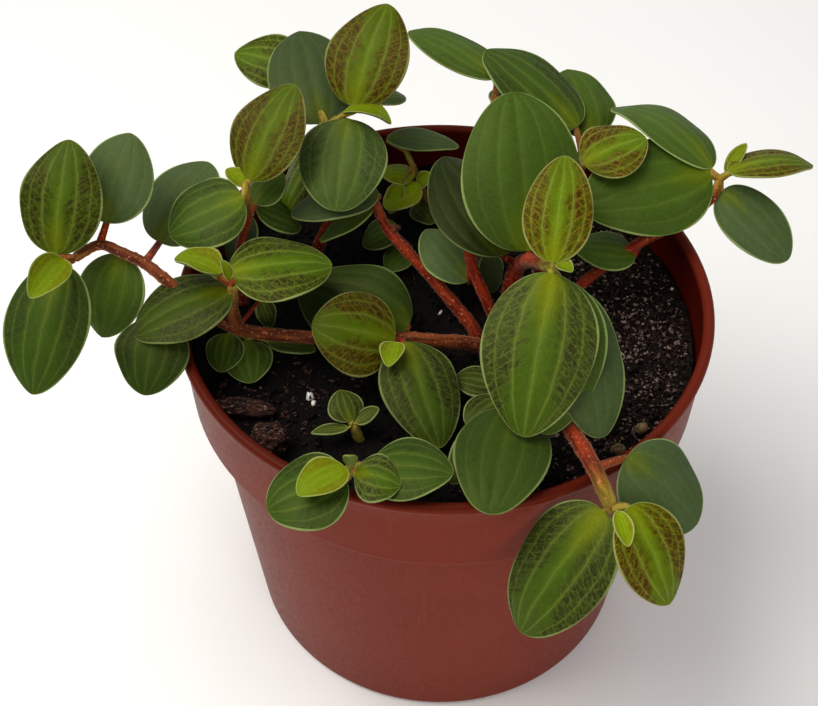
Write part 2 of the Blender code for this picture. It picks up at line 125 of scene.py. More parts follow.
# Painted shade: SHADED gives darker colours to leaves that lie in shade low in the tuft
SHADED = {"strip": (46, 60, 12), "side": (34, 38, 8), "line": (70, 82, 30),
          "net": 0.6, "glow": 0.3, "bloom": 0.0}


def leaf(foot, tip, wide, look, roll=0, arch=0.07, cup=0.16, blunt=BLUNT, light=1.0):
    """A leaf: where its blade starts and ends, its width and look, how it is turned and curved.

    light is how bright its colours are beside others of the same look: partly the leaf's own tone,
    partly painted light and shade.
    """
    return {"foot": np.array(foot, float), "tip": np.array(tip, float), "wide": wide,
            "look": look, "roll": math.radians(roll), "arch": arch, "cup": cup, "blunt": blunt,
            "light": light}


def stem(name, thick, ripe, aged, route, leaves, shoots=()):
    """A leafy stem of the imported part: the points that its axis runs through, and its leaves.

    ripe is how yellow-brown it is, low down and at its end, and aged how brown all over.
    """
    return {"name": name, "thick": thick, "ripe": ripe, "aged": aged, "route": route,
            "leaves": leaves, "shoots": shoots}


# The long stem that leans left over the rim, with a tuft in the middle of the pot
STEM_LEFT = stem(
    "stem_left", thick=3.4, ripe=(0.1, 0.35), aged=0.75,
    route=[(10, -9, 80), (10, -9, 89), (7, -9.5, 94), (-3, -11, 97), (-11, -11, 98),
           (-28, -12, 99), (-46, -11, 101), (-55, -9, 107), (-62, -5, 111),
           (-66, -2.5, 112.8), (-70.5, -1, 114.3), (-76, 1, 115), (-81, -4, 115.5)],
    shoots=[[(-46, -11, 101), (-46.5, -11, 107), (-46, -9.5, 113)]],
    leaves=[
        leaf((-84.5, -4, 117), (-81.5, 14, 134), 18.8, TURNING, light=0.68),
        leaf((-83, -6, 116), (-90, -26, 96), 20, MIDDLE, light=0.84),
        leaf((-82, -7, 118.5), (-86, -21, 121), 8, LIME, roll=-25, cup=-0.3),
        leaf((-75, 5, 118), (-69.5, 20, 131), 18, OLD, light=0.85),
        leaf((-65, 8.6, 109), (-54, 24.6, 119), 19, OLD, blunt=ROUND, light=0.85),
        leaf((-72, 1.2, 111.8), (-77, -10, 97), 16.5, MATURE),
        leaf((-62, -15, 108.6), (-65, -28, 98.1), 16.7, MIDDLE, light=0.5),
        leaf((-47, -9, 112), (-67.5, -17.5, 106.5), 18.5, VEINED, blunt=ROUND, light=0.54),
        leaf((-47, -6, 113.5), (-25, -1, 111.5), 20.5, TURNING),
        leaf((-48.5, -8, 115), (-58.5, -5, 117), 11, LIME, roll=20, cup=-0.3),
        leaf((-46.5, -9, 114), (-48, -8, 119), 3, LIME, cup=-0.2),
        leaf((-41, -4, 103), (-39, -7, 97), 5, SHADED),
        leaf((-11, -15, 101.6), (-29, -14.4, 106.2), 20.3, YOUNG, roll=-22, light=0.52),
        leaf((-9, -15, 101), (-1.5, -39, 94), 17.2, VEINED, light=0.58),
        leaf((-8, -9, 100), (-33, 1, 102), 22, MATURE, roll=-20, light=0.38),
        leaf((-11, -16, 102), (-12.5, -24, 103), 5.5, LIME, cup=-0.3),
    ])

# The upright stem at the left of the pot, behind the long one
STEM_UPPER_LEFT = stem(
    "stem_upper_left", thick=2.6, ripe=(0.1, 0.7), aged=0.3,
    route=[(-47, 8, 80), (-47, 8, 92), (-47, 11, 104), (-44.5, 14, 112),
           (-44.5, 15.5, 120)],
    leaves=[
        leaf((-44, 16, 121), (-34, 32.5, 135), 18, YOUNG, cup=0.1, light=0.6),
        leaf((-44.5, 15, 120), (-49, 18.5, 122), 5, LIME, cup=-0.2),
        leaf((-45, 11, 120.3), (-61.5, 5.8, 114.1), 18, MIDDLE, roll=-15, blunt=ROUND),
        leaf((-43.5, 17, 113), (-37, 24, 116), 9, MATURE),
        leaf((-45, 17, 110), (-50.5, 13, 98), 13, OLD),
        leaf((-43, 18, 112), (-33, 19, 104), 12, MIDDLE),
    ])

# The stem at the back left, with the highest tuft
STEM_TOP = stem(
    "stem_top", thick=3.4, ripe=(0, 0.9), aged=0.2,
    route=[(-31, 22, 80), (-31, 22, 90), (-29.5, 21.5, 96), (-26.5, 24, 103),
           (-25.5, 31, 113), (-27, 33, 122)],
    leaves=[
        leaf((-21, 36, 126), (-13, 55, 141), 20, YOUNG, cup=0.08, light=0.7),
        leaf((-22, 32, 125.5), (-24.5, 12, 115.3), 20.5, NETTED, blunt=ROUND,
             light=0.86),
        leaf((-28.5, 35.6, 121.5), (-34.5, 61, 129.5), 20.5, OLD, blunt=ROUND, light=0.66),
        leaf((-33.5, 54.5, 123), (-50.5, 59.5, 124), 14.5, TURNING, roll=-25),
        leaf((-23, 34, 126), (-12, 30.5, 125.5), 8.5, LIME, roll=-20, arch=0.15, cup=-0.2),
        leaf((-20.5, 48, 119.6), (-9, 56, 114), 10, MATURE, blunt=ROUND),
        leaf((-28.5, 32.2, 116.8), (-38, 27.2, 100.8), 14, TURNING),
    ])

# The thick stem that leans back and left from the crown
STEM_BACK_LEFT = stem(
    "stem_back_left", thick=3.4, ripe=(0, 0.3), aged=0.15,
    route=[(7.5, -2.5, 80), (7.5, -2.5, 90), (2, 3, 95), (-4, 9, 99), (-13, 16, 106),
           (-16, 19, 112)],
    leaves=[
        leaf((-15, 19.4, 114), (-35.5, 18, 109), 12.5, OLD, light=0.78),
        leaf((-16.3, 19.6, 109.4), (-29.3, 18.6, 100), 7.5, MATURE, light=1.4),
        leaf((-11, 26, 98), (-19.5, 23.5, 94), 10, MIDDLE, light=1.25),
        leaf((-8, 22, 95), (-13.5, 17, 91.5), 8, MATURE),
    ])

# The pale young shoot near the back wall
SHOOT_BACK = stem(
    "shoot_back", thick=2.0, ripe=(0.5, 0.9), aged=0.3,
    route=[(-4, 42, 80), (-4, 42, 90), (-5, 42, 97), (-7, 43, 102), (-9, 45, 106)],
    leaves=[
        leaf((-7, 41, 101), (-15, 41.5, 101.5), 8, LIME, light=1.3),
        leaf((-5.6, 38.6, 100.4), (-14, 33, 97.4), 9.5, LIME, light=1.35),
        leaf((-6, 38.6, 99.3), (-2, 39.5, 102.4), 5.5, LIME, cup=-0.2, light=1.3),
        leaf((-13.5, 47.5, 107.5), (4.3, 45.5, 106.5), 8.5, OLD),
        leaf((-6, 40.5, 92), (-2.3, 33, 92), 7, SHADED),
        leaf((-10, 37.8, 101.2), (-12.7, 32.8, 95.5), 5, LIME, cup=-0.2, light=1.3),
    ])

# The stem that rises behind the big leaves and ends over the back rim
STEM_BACK = stem(
    "stem_back", thick=3.2, ripe=(0, 0.4), aged=0,
    route=[(13, -2.5, 80), (13, -2.5, 90), (11.5, -2, 95), (6, 6, 106), (5, 22, 113),
           (12, 44, 118)],
    leaves=[
        leaf((6, 4.3, 101), (-4, 18.3, 104), 14, OLD),
        leaf((10, 10, 104), (12, 7, 94), 7, OLD),
        leaf((13.5, 55.5, 119.7), (-8, 78, 118), 13, MATURE),
        leaf((14, 46, 118), (24, 62, 112), 13, MATURE),
    ])

# The stem at the back right
STEM_BACK_RIGHT = stem(
    "stem_back_right", thick=3.0, ripe=(0, 0.4), aged=0,
    route=[(22, 10, 80), (22, 10, 92), (25, 18, 100), (31, 27, 108), (33, 32, 114)],
    leaves=[
        leaf((32, 40, 117), (11, 60, 125), 18, MIDDLE, blunt=ROUND),
        leaf((35.5, 40, 114), (31, 60, 119), 17, MATURE),
        leaf((32, 25, 118.2), (46.5, 29.8, 122), 18.3, YOUNG, cup=0.08),
    ])

# The stem with the biggest leaves, which stands up and leans forward
STEM_FRONT = stem(
    "stem_front", thick=4.2, ripe=(0, 0.95), aged=0,
    route=[(17, 2, 80), (17, 2, 92), (15, 1, 100), (15.5, 1.5, 105), (16.5, 0.5, 109.5),
           (18, -4, 115), (20, -12, 122), (21, -18, 126.5)],
    leaves=[
        leaf((13, 0, 113), (0, 28, 118), 21, GLOSSY, light=0.48),
        leaf((18, -3, 117), (15, 25, 138.5), 27, MATURE, cup=0.12, blunt=ROUND),
        leaf((21, -19, 129), (24, -1, 142), 14.5, YOUNG, cup=0.08),
        leaf((21, -20, 127), (15, -46, 106.2), 23.5, VEINED, light=0.86),
        leaf((23, -19.3, 124.6), (20, -44.7, 105.2), 21, MATURE),
        leaf((24.2, -18, 120.4), (31, -45.4, 105.3), 16.8, OLD, blunt=ROUND, light=0.8),
        leaf((22, -19, 129), (25, -21.5, 129), 3.6, LIME, cup=-0.2),
    ])

# The stem that leaves over the right of the rim
STEM_RIGHT = stem(
    "stem_right", thick=3.0, ripe=(0.1, 0.6), aged=0.1,
    route=[(24, 1, 80), (24, 1, 90), (27, 3, 93), (33, 8, 97), (45, 14, 103),
           (55, 16.5, 108), (62, 20, 112), (63.5, 23, 115)],
    leaves=[
        leaf((61.5, 24.5, 116), (31.5, 16, 113), 24.5, MATURE, roll=-25),
        leaf((62, 26, 116), (41, 46.5, 118), 17.5, MATURE, roll=15, arch=0.15, light=1.2),
        leaf((65, 22.5, 118), (86, 28, 115.5), 11, YOUNG, roll=-5, arch=0.1),
        leaf((64.2, 21.3, 113), (79.3, 8.7, 103.2), 14.6, OLD, roll=18, blunt=ROUND),
        leaf((65, 24, 116), (70, 30, 120), 3.5, LIME, cup=-0.2),
        leaf((44.5, 12, 102), (30, 12, 104), 13, MATURE),
    ])

# The stem that leans forward and hangs over the front right of the rim
STEM_FRONT_RIGHT = stem(
    "stem_front_right", thick=4.6, ripe=(0.12, 0.7), aged=0.2,
    route=[(19.4, -11.3, 80), (19.4, -11.3, 90), (21, -20, 95), (24, -33, 99.5),
           (25.5, -43, 104), (28.5, -54.5, 107), (31.5, -62, 104)],
    leaves=[
        leaf((30, -62, 103), (14, -75, 80), 21, VEINED, blunt=ROUND, light=0.74),
        leaf((35, -62.2, 104.8), (43.8, -74, 88.3), 16.3, YOUNG, cup=0.08),
        leaf((36, -49.6, 104.5), (50.3, -59.1, 94.8), 22.2, OLD, blunt=ROUND, light=0.98),
        leaf((32.5, -63, 104.5), (34.5, -69, 101), 4, LIME, cup=-0.2, light=1.35),
    ])

# The low stem with the round dark leaf on the front rim
STEM_FRONT_LOW = stem(
    "stem_front_low", thick=2.8, ripe=(0.2, 0.6), aged=0.2,
    route=[(13, -17, 80), (13, -17, 90), (13, -21, 93.5), (13.8, -29, 98), (14, -35, 102)],
    leaves=[
        leaf((13.6, -36, 103.4), (7.6, -62.6, 103.5), 19.7, MATURE, arch=0.04, cup=0.06,
             blunt=ROUND, light=0.66),
        leaf((11, -23, 96), (2, -21, 96), 9, SHADED),
        leaf((12, -28, 97), (4, -34, 96), 9, SHADED),
        leaf((12, -35, 100), (0.5, -52, 99), 10, SHADED),
    ])

# The short shoot that spreads over the front left of the rim
SHOOT_FRONT_LEFT = stem(
    "shoot_front_left", thick=2.4, ripe=(0.4, 0.9), aged=0.3,
    route=[(-13, -42, 80), (-13, -42, 90), (-15.5, -47, 98), (-19, -53, 105.5)],
    leaves=[
        leaf((-20.5, -56, 106.5), (-36, -61, 102.5), 18.5, MIDDLE, blunt=ROUND),
        leaf((-20.5, -55, 108), (-29.5, -62, 108.5), 9, LIME, cup=-0.15),
        leaf((-19.5, -54, 107), (-19.5, -55, 112), 3, LIME, cup=-0.2),
        leaf((-18.5, -55, 106.5), (-9.5, -57, 105), 12, VEINED),
        leaf((-16, -50.5, 102.6), (0.7, -54.5, 105.6), 16, MIDDLE),
    ])

# A seedling between the tuft and the front left shoot
SEEDLING = stem(
    "seedling", thick=3.0, ripe=(0.6, 0.9), aged=0.9,
    route=[(-18.5, -33.5, 80), (-18.5, -33.5, 88), (-20, -33, 94.5)],
    leaves=[
        leaf((-20.5, -33, 95.3), (-23, -26, 97.6), 8, SHADED),
        leaf((-21, -34, 94.5), (-29, -34.5, 93.5), 3.2, SHADED),
        leaf((-19.5, -33, 95), (-14.5, -30.5, 97), 4, SHADED),
    ])

# A small old shoot below the long stem, near the left wall
SHOOT_LOW_LEFT = stem(
    "shoot_low_left", thick=1.8, ripe=(0.3, 0.8), aged=0.8,
    route=[(-42, -6, 80), (-42, -6, 90), (-43.5, -7.5, 95)],
    leaves=[
        leaf((-48.5, -9, 97.3), (-50, -17.3, 93.5), 9, MIDDLE),
        leaf((-45, -9, 95), (-43, -19.5, 92.5), 11.5, MIDDLE),
        leaf((-40, -8, 94), (-29, -10, 93), 6, MIDDLE),
    ])

STEMS = [STEM_LEFT, STEM_UPPER_LEFT, STEM_TOP, STEM_BACK_LEFT, SHOOT_BACK, STEM_BACK,
         STEM_BACK_RIGHT, STEM_FRONT, STEM_RIGHT, STEM_FRONT_RIGHT, STEM_FRONT_LOW,
         SHOOT_FRONT_LEFT, SEEDLING, SHOOT_LOW_LEFT]

# The white grains that stand out on the soil: place and half size
WHITE_GRAINS = [(-30.0, -22.0, 0.9), (-29.0, -23.6, 0.7), (-0.7, 4.1, 0.6), (54.5, 11.5, 0.5),
                (-0.5, 18.9, 0.5)]

# Loose pieces on the soil: node, middle, half sizes and turn in degrees
LOOSE = [
    ("bark_chip", (-44, -25.5, 91.0), (7.5, 2.6, 1.9), -8),
    ("root_ball", (-38, -36, 92.5), (4.6, 4.2, 4.3), 0),
    ("pebble_a", (42.5, -31, 90.6), (1.6, 1.3, 1.2), 30),
    ("pebble_b", (37, -37, 90.6), (1.7, 1.5, 1.3), -20),
]


def srgb(red, green, blue):
    """A colour given as eight-bit screen values, as the linear one that a shader takes."""
    values = [channel / 255 for channel in (red, green, blue)]
    return (*[v / 12.92 if v < 0.04045 else ((v + 0.055) / 1.055) ** 2.4 for v in values], 1.0)


def smooth_step(low, high, value):
    """0 below low, 1 above high, and smooth between them."""
    t = np.clip((value - low) / (high - low), 0, 1)
    return t * t * (3 - 2 * t)


def unit(vector):
    """A vector, or each row of vectors, made one long."""
    return vector / np.maximum(np.linalg.norm(vector, axis=-1, keepdims=True), 1e-9)


# The values that every mesh point keeps for the materials, three numbers each
VALUES = ("place", "tone", "strip", "side", "line", "marks")


class Shell:
    """Points, faces and point values that grow into one mesh piece."""

    def __init__(self):
        self.points = []
        self.faces = []
        self.slots = []
        self.values = {title: [] for title in VALUES}
        self.count = 0

    def add(self, points, faces, slot, **values):
        """Add points in millimetres, faces as rows of point numbers, and values for the points."""
        size = len(points)
        self.points.append(np.asarray(points, float))
        for block in faces:
            self.faces += (np.asarray(block) + self.count).tolist()
            self.slots += [slot] * len(block)
        for title, store in self.values.items():
            value = np.asarray(values.get(title, (0, 0, 0)), float)
            store.append(np.broadcast_to(value, (size, 3)))
        self.count += size

    def piece(self, name, materials):
        """The finished mesh object, in metres, with smooth faces."""
        mesh = bpy.data.meshes.new(name)
        mesh.from_pydata((np.concatenate(self.points) * MM).tolist(), [], self.faces)
        for material in materials:
            mesh.materials.append(material)
        mesh.polygons.foreach_set("material_index", self.slots)
        mesh.polygons.foreach_set("use_smooth", [True] * len(self.slots))
        for title, store in self.values.items():
            layer = mesh.attributes.new(title, "FLOAT_VECTOR", "POINT")
            layer.data.foreach_set("vector", np.concatenate(store).ravel())
        mesh.update()
        thing = bpy.data.objects.new(name, mesh)
        bpy.context.scene.collection.objects.link(thing)
        return thing


def grid_faces(rows, columns, flip=False):
    """The four-sided faces of a grid of points, row by row."""
    i, j = np.meshgrid(np.arange(rows - 1), np.arange(columns - 1), indexing="ij")
    a = (i * columns + j).ravel()
    faces = np.stack([a, a + 1, a + columns + 1, a + columns], axis=1)
    return faces[:, ::-1] if flip else faces


def tube_faces(rings, sides):
    """The faces of a tube of rings, with a fan at each end from two last points."""
    i, j = np.meshgrid(np.arange(rings - 1), np.arange(sides), indexing="ij")
    a = (i * sides + j).ravel()
    b = (i * sides + (j + 1) % sides).ravel()
    walls = np.stack([a, b, b + sides, a + sides], axis=1)
    ring = np.arange(sides)
    after = (ring + 1) % sides
    first = np.full(sides, rings * sides)
    last = first + 1
    top = (rings - 1) * sides
    fans = np.concatenate([np.stack([after, ring, first], axis=1),
                           np.stack([ring + top, after + top, last], axis=1)])
    return walls, fans


def around(sides):
    """Angles that share out a full turn."""
    return np.arange(sides) * 2 * math.pi / sides


def spin(angle):
    """The matrix of a turn about the upright axis."""
    return np.array(((math.cos(angle), -math.sin(angle), 0),
                     (math.sin(angle), math.cos(angle), 0), (0, 0, 1)))


def walked(path):
    """How far along a path each of its points is."""
    return np.concatenate([[0], np.cumsum(np.linalg.norm(np.diff(path, axis=0), axis=1))])


def smooth_route(points, steps):
    """Points along a smooth curve through the given ones."""
    points = np.asarray(points, float)
    gaps = np.linalg.norm(np.diff(points, axis=0), axis=1)
    slopes = np.zeros_like(points)
    slopes[1:-1] = (points[2:] - points[:-2]) / (gaps[1:] + gaps[:-1])[:, None]
    slopes[0] = (points[1] - points[0]) / gaps[0]
    slopes[-1] = (points[-1] - points[-2]) / gaps[-1]
    t = np.arange(steps)[:, None] / steps
    out = []
    for k, gap in enumerate(gaps):
        a, b = points[k], points[k + 1]
        p, q = slopes[k] * gap, slopes[k + 1] * gap
        out.append((2 * t**3 - 3 * t**2 + 1) * a + (t**3 - 2 * t**2 + t) * p
                   + (3 * t**2 - 2 * t**3) * b + (t**3 - t**2) * q)
    return np.concatenate(out + [points[-1:]])


def frames(path):
    """Directions along and across a path, turned as little as possible on the way."""
    along = unit(np.gradient(path, axis=0))
    side = np.cross(along[0], UP)
    if np.linalg.norm(side) < 0.2:
        side = np.cross(along[0], (0, 1, 0))
    sides = []
    for direction in along:
        side = unit(side - direction * np.dot(side, direction))
        sides.append(side)
    sides = np.array(sides)
    return along, sides, np.cross(along, sides)


def sweep(shell, path, radii, sides, slot, ripe=0.0, lumps=0.0, aged=0.0):
    """A closed tube along a path, with slightly uneven sides."""
    _, right, up = frames(path)
    angles = around(sides)
    ring = (np.cos(angles)[None, :, None] * right[:, None]
            + np.sin(angles)[None, :, None] * up[:, None])
    radius = np.asarray(radii, float)[:, None] * np.ones(sides)
    walk = walked(path)
    if lumps:
        wave = np.sin(walk[:, None] * 1.7 + 2 * angles) + np.sin(walk[:, None] * 4.1 - 3 * angles)
        radius = radius * (1 + lumps * wave)
    points = (path[:, None] + ring * radius[..., None]).reshape(-1, 3)
    points = np.concatenate([points, path[:1], path[-1:]])
    rows = np.concatenate([np.repeat(np.arange(len(path)), sides), [0, len(path) - 1]])
    marks = np.zeros((len(points), 3))
    marks[:, 0] = (np.asarray(ripe, float) * np.ones(len(path)))[rows]
    marks[:, 1] = aged
    place = np.stack([(radius * np.cos(angles)).ravel(), (radius * np.sin(angles)).ravel(),
                      np.repeat(walk, sides)], axis=1)
    place = np.concatenate([place, [(0, 0, walk[0]), (0, 0, walk[-1])]])
    shell.add(points, tube_faces(len(path), sides), slot, marks=marks, place=place)


def spread(u, blunt):
    """Half of a blade's width along its length, as a share of the widest."""
    return np.sin(math.pi * u**WIDEST) ** blunt


def blade_axes(one):
    """A blade's length and its three directions: along, across and out of its face."""
    along = one["tip"] - one["foot"]
    length = np.linalg.norm(along)
    along = along / length
    across = unit(np.cross(along, UP))
    out = np.cross(across, along)
    across = across * math.cos(one["roll"]) - out * math.sin(one["roll"])
    return length, along, across, np.cross(across, along)


def blade_point(one, u, s, sink=0.0):
    """A point on a blade's plain upper face, at u along it and s across it."""
    length, along, across, out = blade_axes(one)
    half = one["wide"] / 2 * spread(u, one["blunt"])
    rise = one["arch"] * length * 4 * u * (1 - u) - one["cup"] * half * s * s
    return one["foot"] + along * (length * u) + across * (half * s) + out * (rise - sink)


def groove(distance, depth, width):
    """The depth of a rounded groove at a distance from its middle."""
    return depth * np.exp(-((distance / width) ** 2))


def add_blade(shell, one, seed):
    """A leaf blade: grooved along its veins, quilted between them and thin at the edge."""
    draw = np.random.default_rng(seed)
    length, along, across, out = blade_axes(one)
    wide = one["wide"]
    rows = int(np.clip(length * 1.5, 14, 46))
    columns = int(np.clip(wide * 1.7, 11, 39)) | 1
    u = 0.5 - 0.5 * np.cos(math.pi * np.linspace(0.012, 0.988, rows))
    t = np.linspace(-1, 1, columns)
    s = np.sin(t * 1.35) / math.sin(1.35)
    u, s = u[:, None], s[None, :]
    half = wide / 2 * spread(u, one["blunt"])
    wave = draw.uniform(0, 6.28, 4)
    turns = draw.uniform(0.8, 1.7, 2)
    edge_wave = np.where(s > 0, np.sin(6.28 * turns[0] * u + wave[0]),
                         np.sin(6.28 * turns[1] * u + wave[1]))
    x = half * s * (1 + 0.02 * edge_wave)
    size = np.clip(wide / 18, 0.35, 1.15)
    open_part = np.clip(half / (wide * 0.22), 0, 1)
    rise = one["arch"] * length * 4 * u * (1 - u) - one["cup"] * half * s * s
    rise = rise - groove(x, MIDRIB_DEPTH * size * open_part, GROOVE * size)
    for vein, depth in ((INNER_VEIN, INNER_DEPTH), (OUTER_VEIN, OUTER_DEPTH)):
        away = np.abs(x) - vein * half
        rise = rise - groove(away, depth * size * open_part, GROOVE * 0.9 * size)
    rise = rise + 0.022 * wide * edge_wave * s * s * open_part
    quilt = np.sin(x * 2.1 / size + wave[2]) * np.sin(u * length * 1.6 / size + wave[3] + x * 0.8)
    rise = rise + 0.05 * size * quilt * open_part * (1 - s * s)
    rise = rise - 0.015 * length * smooth_step(0.8, 1.0, u)
    upper = (one["foot"] + along * (length * u)[..., None] + across * x[..., None]
             + out * rise[..., None])
    thick = EDGE + (BLADE * min(1, 0.45 + wide / 30) - EDGE) * np.sqrt(np.clip(1 - s * s, 0, 1))
    rib = 0.4 * size * np.exp(-((x / (0.55 * size)) ** 2)) * (1 - u) ** 0.6
    lower = upper - out * (thick * (0.35 + 0.65 * open_part) + rib)[..., None]
    count = rows * columns
    number = np.arange(count).reshape(rows, columns)
    left, right = number[:, 0], number[:, -1]
    foot, tip = number[0], number[-1]
    sides = np.concatenate([
        np.stack([left[:-1], left[1:], left[1:] + count, left[:-1] + count], axis=1),
        np.stack([right[1:], right[:-1], right[:-1] + count, right[1:] + count], axis=1),
        np.stack([foot[1:], foot[:-1], foot[:-1] + count, foot[1:] + count], axis=1),
        np.stack([tip[:-1], tip[1:], tip[1:] + count, tip[:-1] + count], axis=1)])
    ones = np.ones_like(x)
    place = np.stack([x, length * u * ones, half * ones], axis=-1).reshape(-1, 3)
    tone = np.stack([u * ones, ones * draw.uniform(0, 1), ones * one["light"]], axis=-1)
    tone = tone.reshape(-1, 3)
    start = shell.count
    both = np.concatenate([upper.reshape(-1, 3), lower.reshape(-1, 3)])
    look = one["look"]
    shell.add(both, [grid_faces(rows, columns), sides], 0, place=np.concatenate([place, place]),
              tone=np.concatenate([tone, tone]), strip=srgb(*look["strip"])[:3],
              side=srgb(*look["side"])[:3], line=srgb(*look["line"])[:3],
              marks=(look["net"], look["glow"], look["bloom"]))
    under = grid_faces(rows, columns, flip=True) + count + start
    shell.faces += under.tolist()
    shell.slots += [1] * len(under)


def add_stalk(shell, one, joints):
    """A leaf's stalk, from the nearest joint of its stem along the underside of the midrib."""
    joint, ripe = min(joints, key=lambda pair: np.linalg.norm(pair[0] - one["foot"]))
    thick = min(PETIOLE, one["wide"] * 0.09)
    inside = [blade_point(one, u, 0, thick * sink)
              for u, sink in ((0.01, 1.2), (0.1, 1.6), (0.26, 1.4))]
    path = smooth_route([joint] + inside, 5)
    share = np.linspace(0, 1, len(path))
    radii = thick * np.interp(share, (0, 0.12, 0.33, 0.66, 1), (1.2, 1.05, 0.9, 0.6, 0.2))
    sweep(shell, path, radii, STALK_SIDES, 2, ripe + 1.3 * share**2)


def add_hairs(shell, path, radii, seed):
    """Fine hairs that stand out from a stem."""
    draw = np.random.default_rng(seed)
    steps = np.linalg.norm(np.diff(path, axis=0), axis=1)
    total = int(steps.sum() * HAIRS)
    walk = walked(path)
    at = draw.uniform(0, walk[-1], total)
    along, right, up = frames(path)

    def mixed(values):
        return np.stack([np.interp(at, walk, values[:, k]) for k in range(3)], axis=1)

    middle, right, up, along = mixed(path), mixed(right), mixed(up), mixed(along)
    radius = np.interp(at, walk, radii)
    angle = draw.uniform(0, 2 * math.pi, total)
    out = right * np.cos(angle)[:, None] + up * np.sin(angle)[:, None]
    lean = unit(out + along * draw.normal(0, 0.35, total)[:, None]
                + np.cross(along, out) * draw.normal(0, 0.35, total)[:, None])
    base = middle + out * (radius * 0.93)[:, None]
    tips = base + lean * (HAIR_LENGTH * draw.uniform(0.45, 1.0, total))[:, None]
    a = unit(np.cross(lean, along))
    b = np.cross(lean, a)
    feet = [base + (a * math.cos(turn) + b * math.sin(turn)) * HAIR_RADIUS
            for turn in (0, 2.094, 4.189)]
    points = np.stack(feet + [tips], axis=1).reshape(-1, 3)
    first = np.arange(total)[:, None] * 4
    faces = np.concatenate([first + np.array([[0, 1, 3]]), first + np.array([[1, 2, 3]]),
                            first + np.array([[2, 0, 3]]), first + np.array([[0, 2, 1]])])
    shell.add(points, [faces], 3)


def make_stem(stem, number, materials):
    """A leafy stem: its axis, side shoots, stalks, blades and hairs in one piece."""
    shell = Shell()
    radius = stem["thick"] / 2
    path = smooth_route(stem["route"], 8)
    share = np.linspace(0, 1, len(path))
    knots = len(stem["route"]) - 1
    radii = radius * (1 - STEM_TAPER * share)
    radii = radii * (1 + 0.10 * np.cos(share * knots * 2 * math.pi) ** 8)
    radii[-1] *= 0.55
    ripening = (knots - 1.3, knots - 0.2)
    ripe = np.interp(share * knots, ripening, stem["ripe"])
    sweep(shell, path, radii, STEM_SIDES, 2, ripe, lumps=STEM_LUMPS, aged=stem["aged"])
    shown = path[:, 2] > SOIL_TOP - 1
    add_hairs(shell, path[shown], radii[shown], number)
    colours = np.interp(np.arange(knots + 1), ripening, stem["ripe"])
    joints = [(np.array(point, float), colour) for point, colour in zip(stem["route"], colours)]
    for k, shoot in enumerate(stem["shoots"]):
        joints += [(np.array(point, float), 0.3) for point in shoot]
        path = smooth_route(shoot, 8)
        radii = np.linspace(0.9, 0.7, len(path)) * radius
        sweep(shell, path, radii, STEM_SIDES, 2, np.linspace(0, 0.6, len(path)),
              lumps=STEM_LUMPS, aged=stem["aged"])
        add_hairs(shell, path, radii, number * 31 + k)
    for k, one in enumerate(stem["leaves"]):
        add_stalk(shell, one, joints[2:])
        add_blade(shell, one, seed=number * 100 + k)
    piece = shell.piece(stem["name"] + "_foliage", materials)
    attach(piece, "root")
    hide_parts(stem["name"])


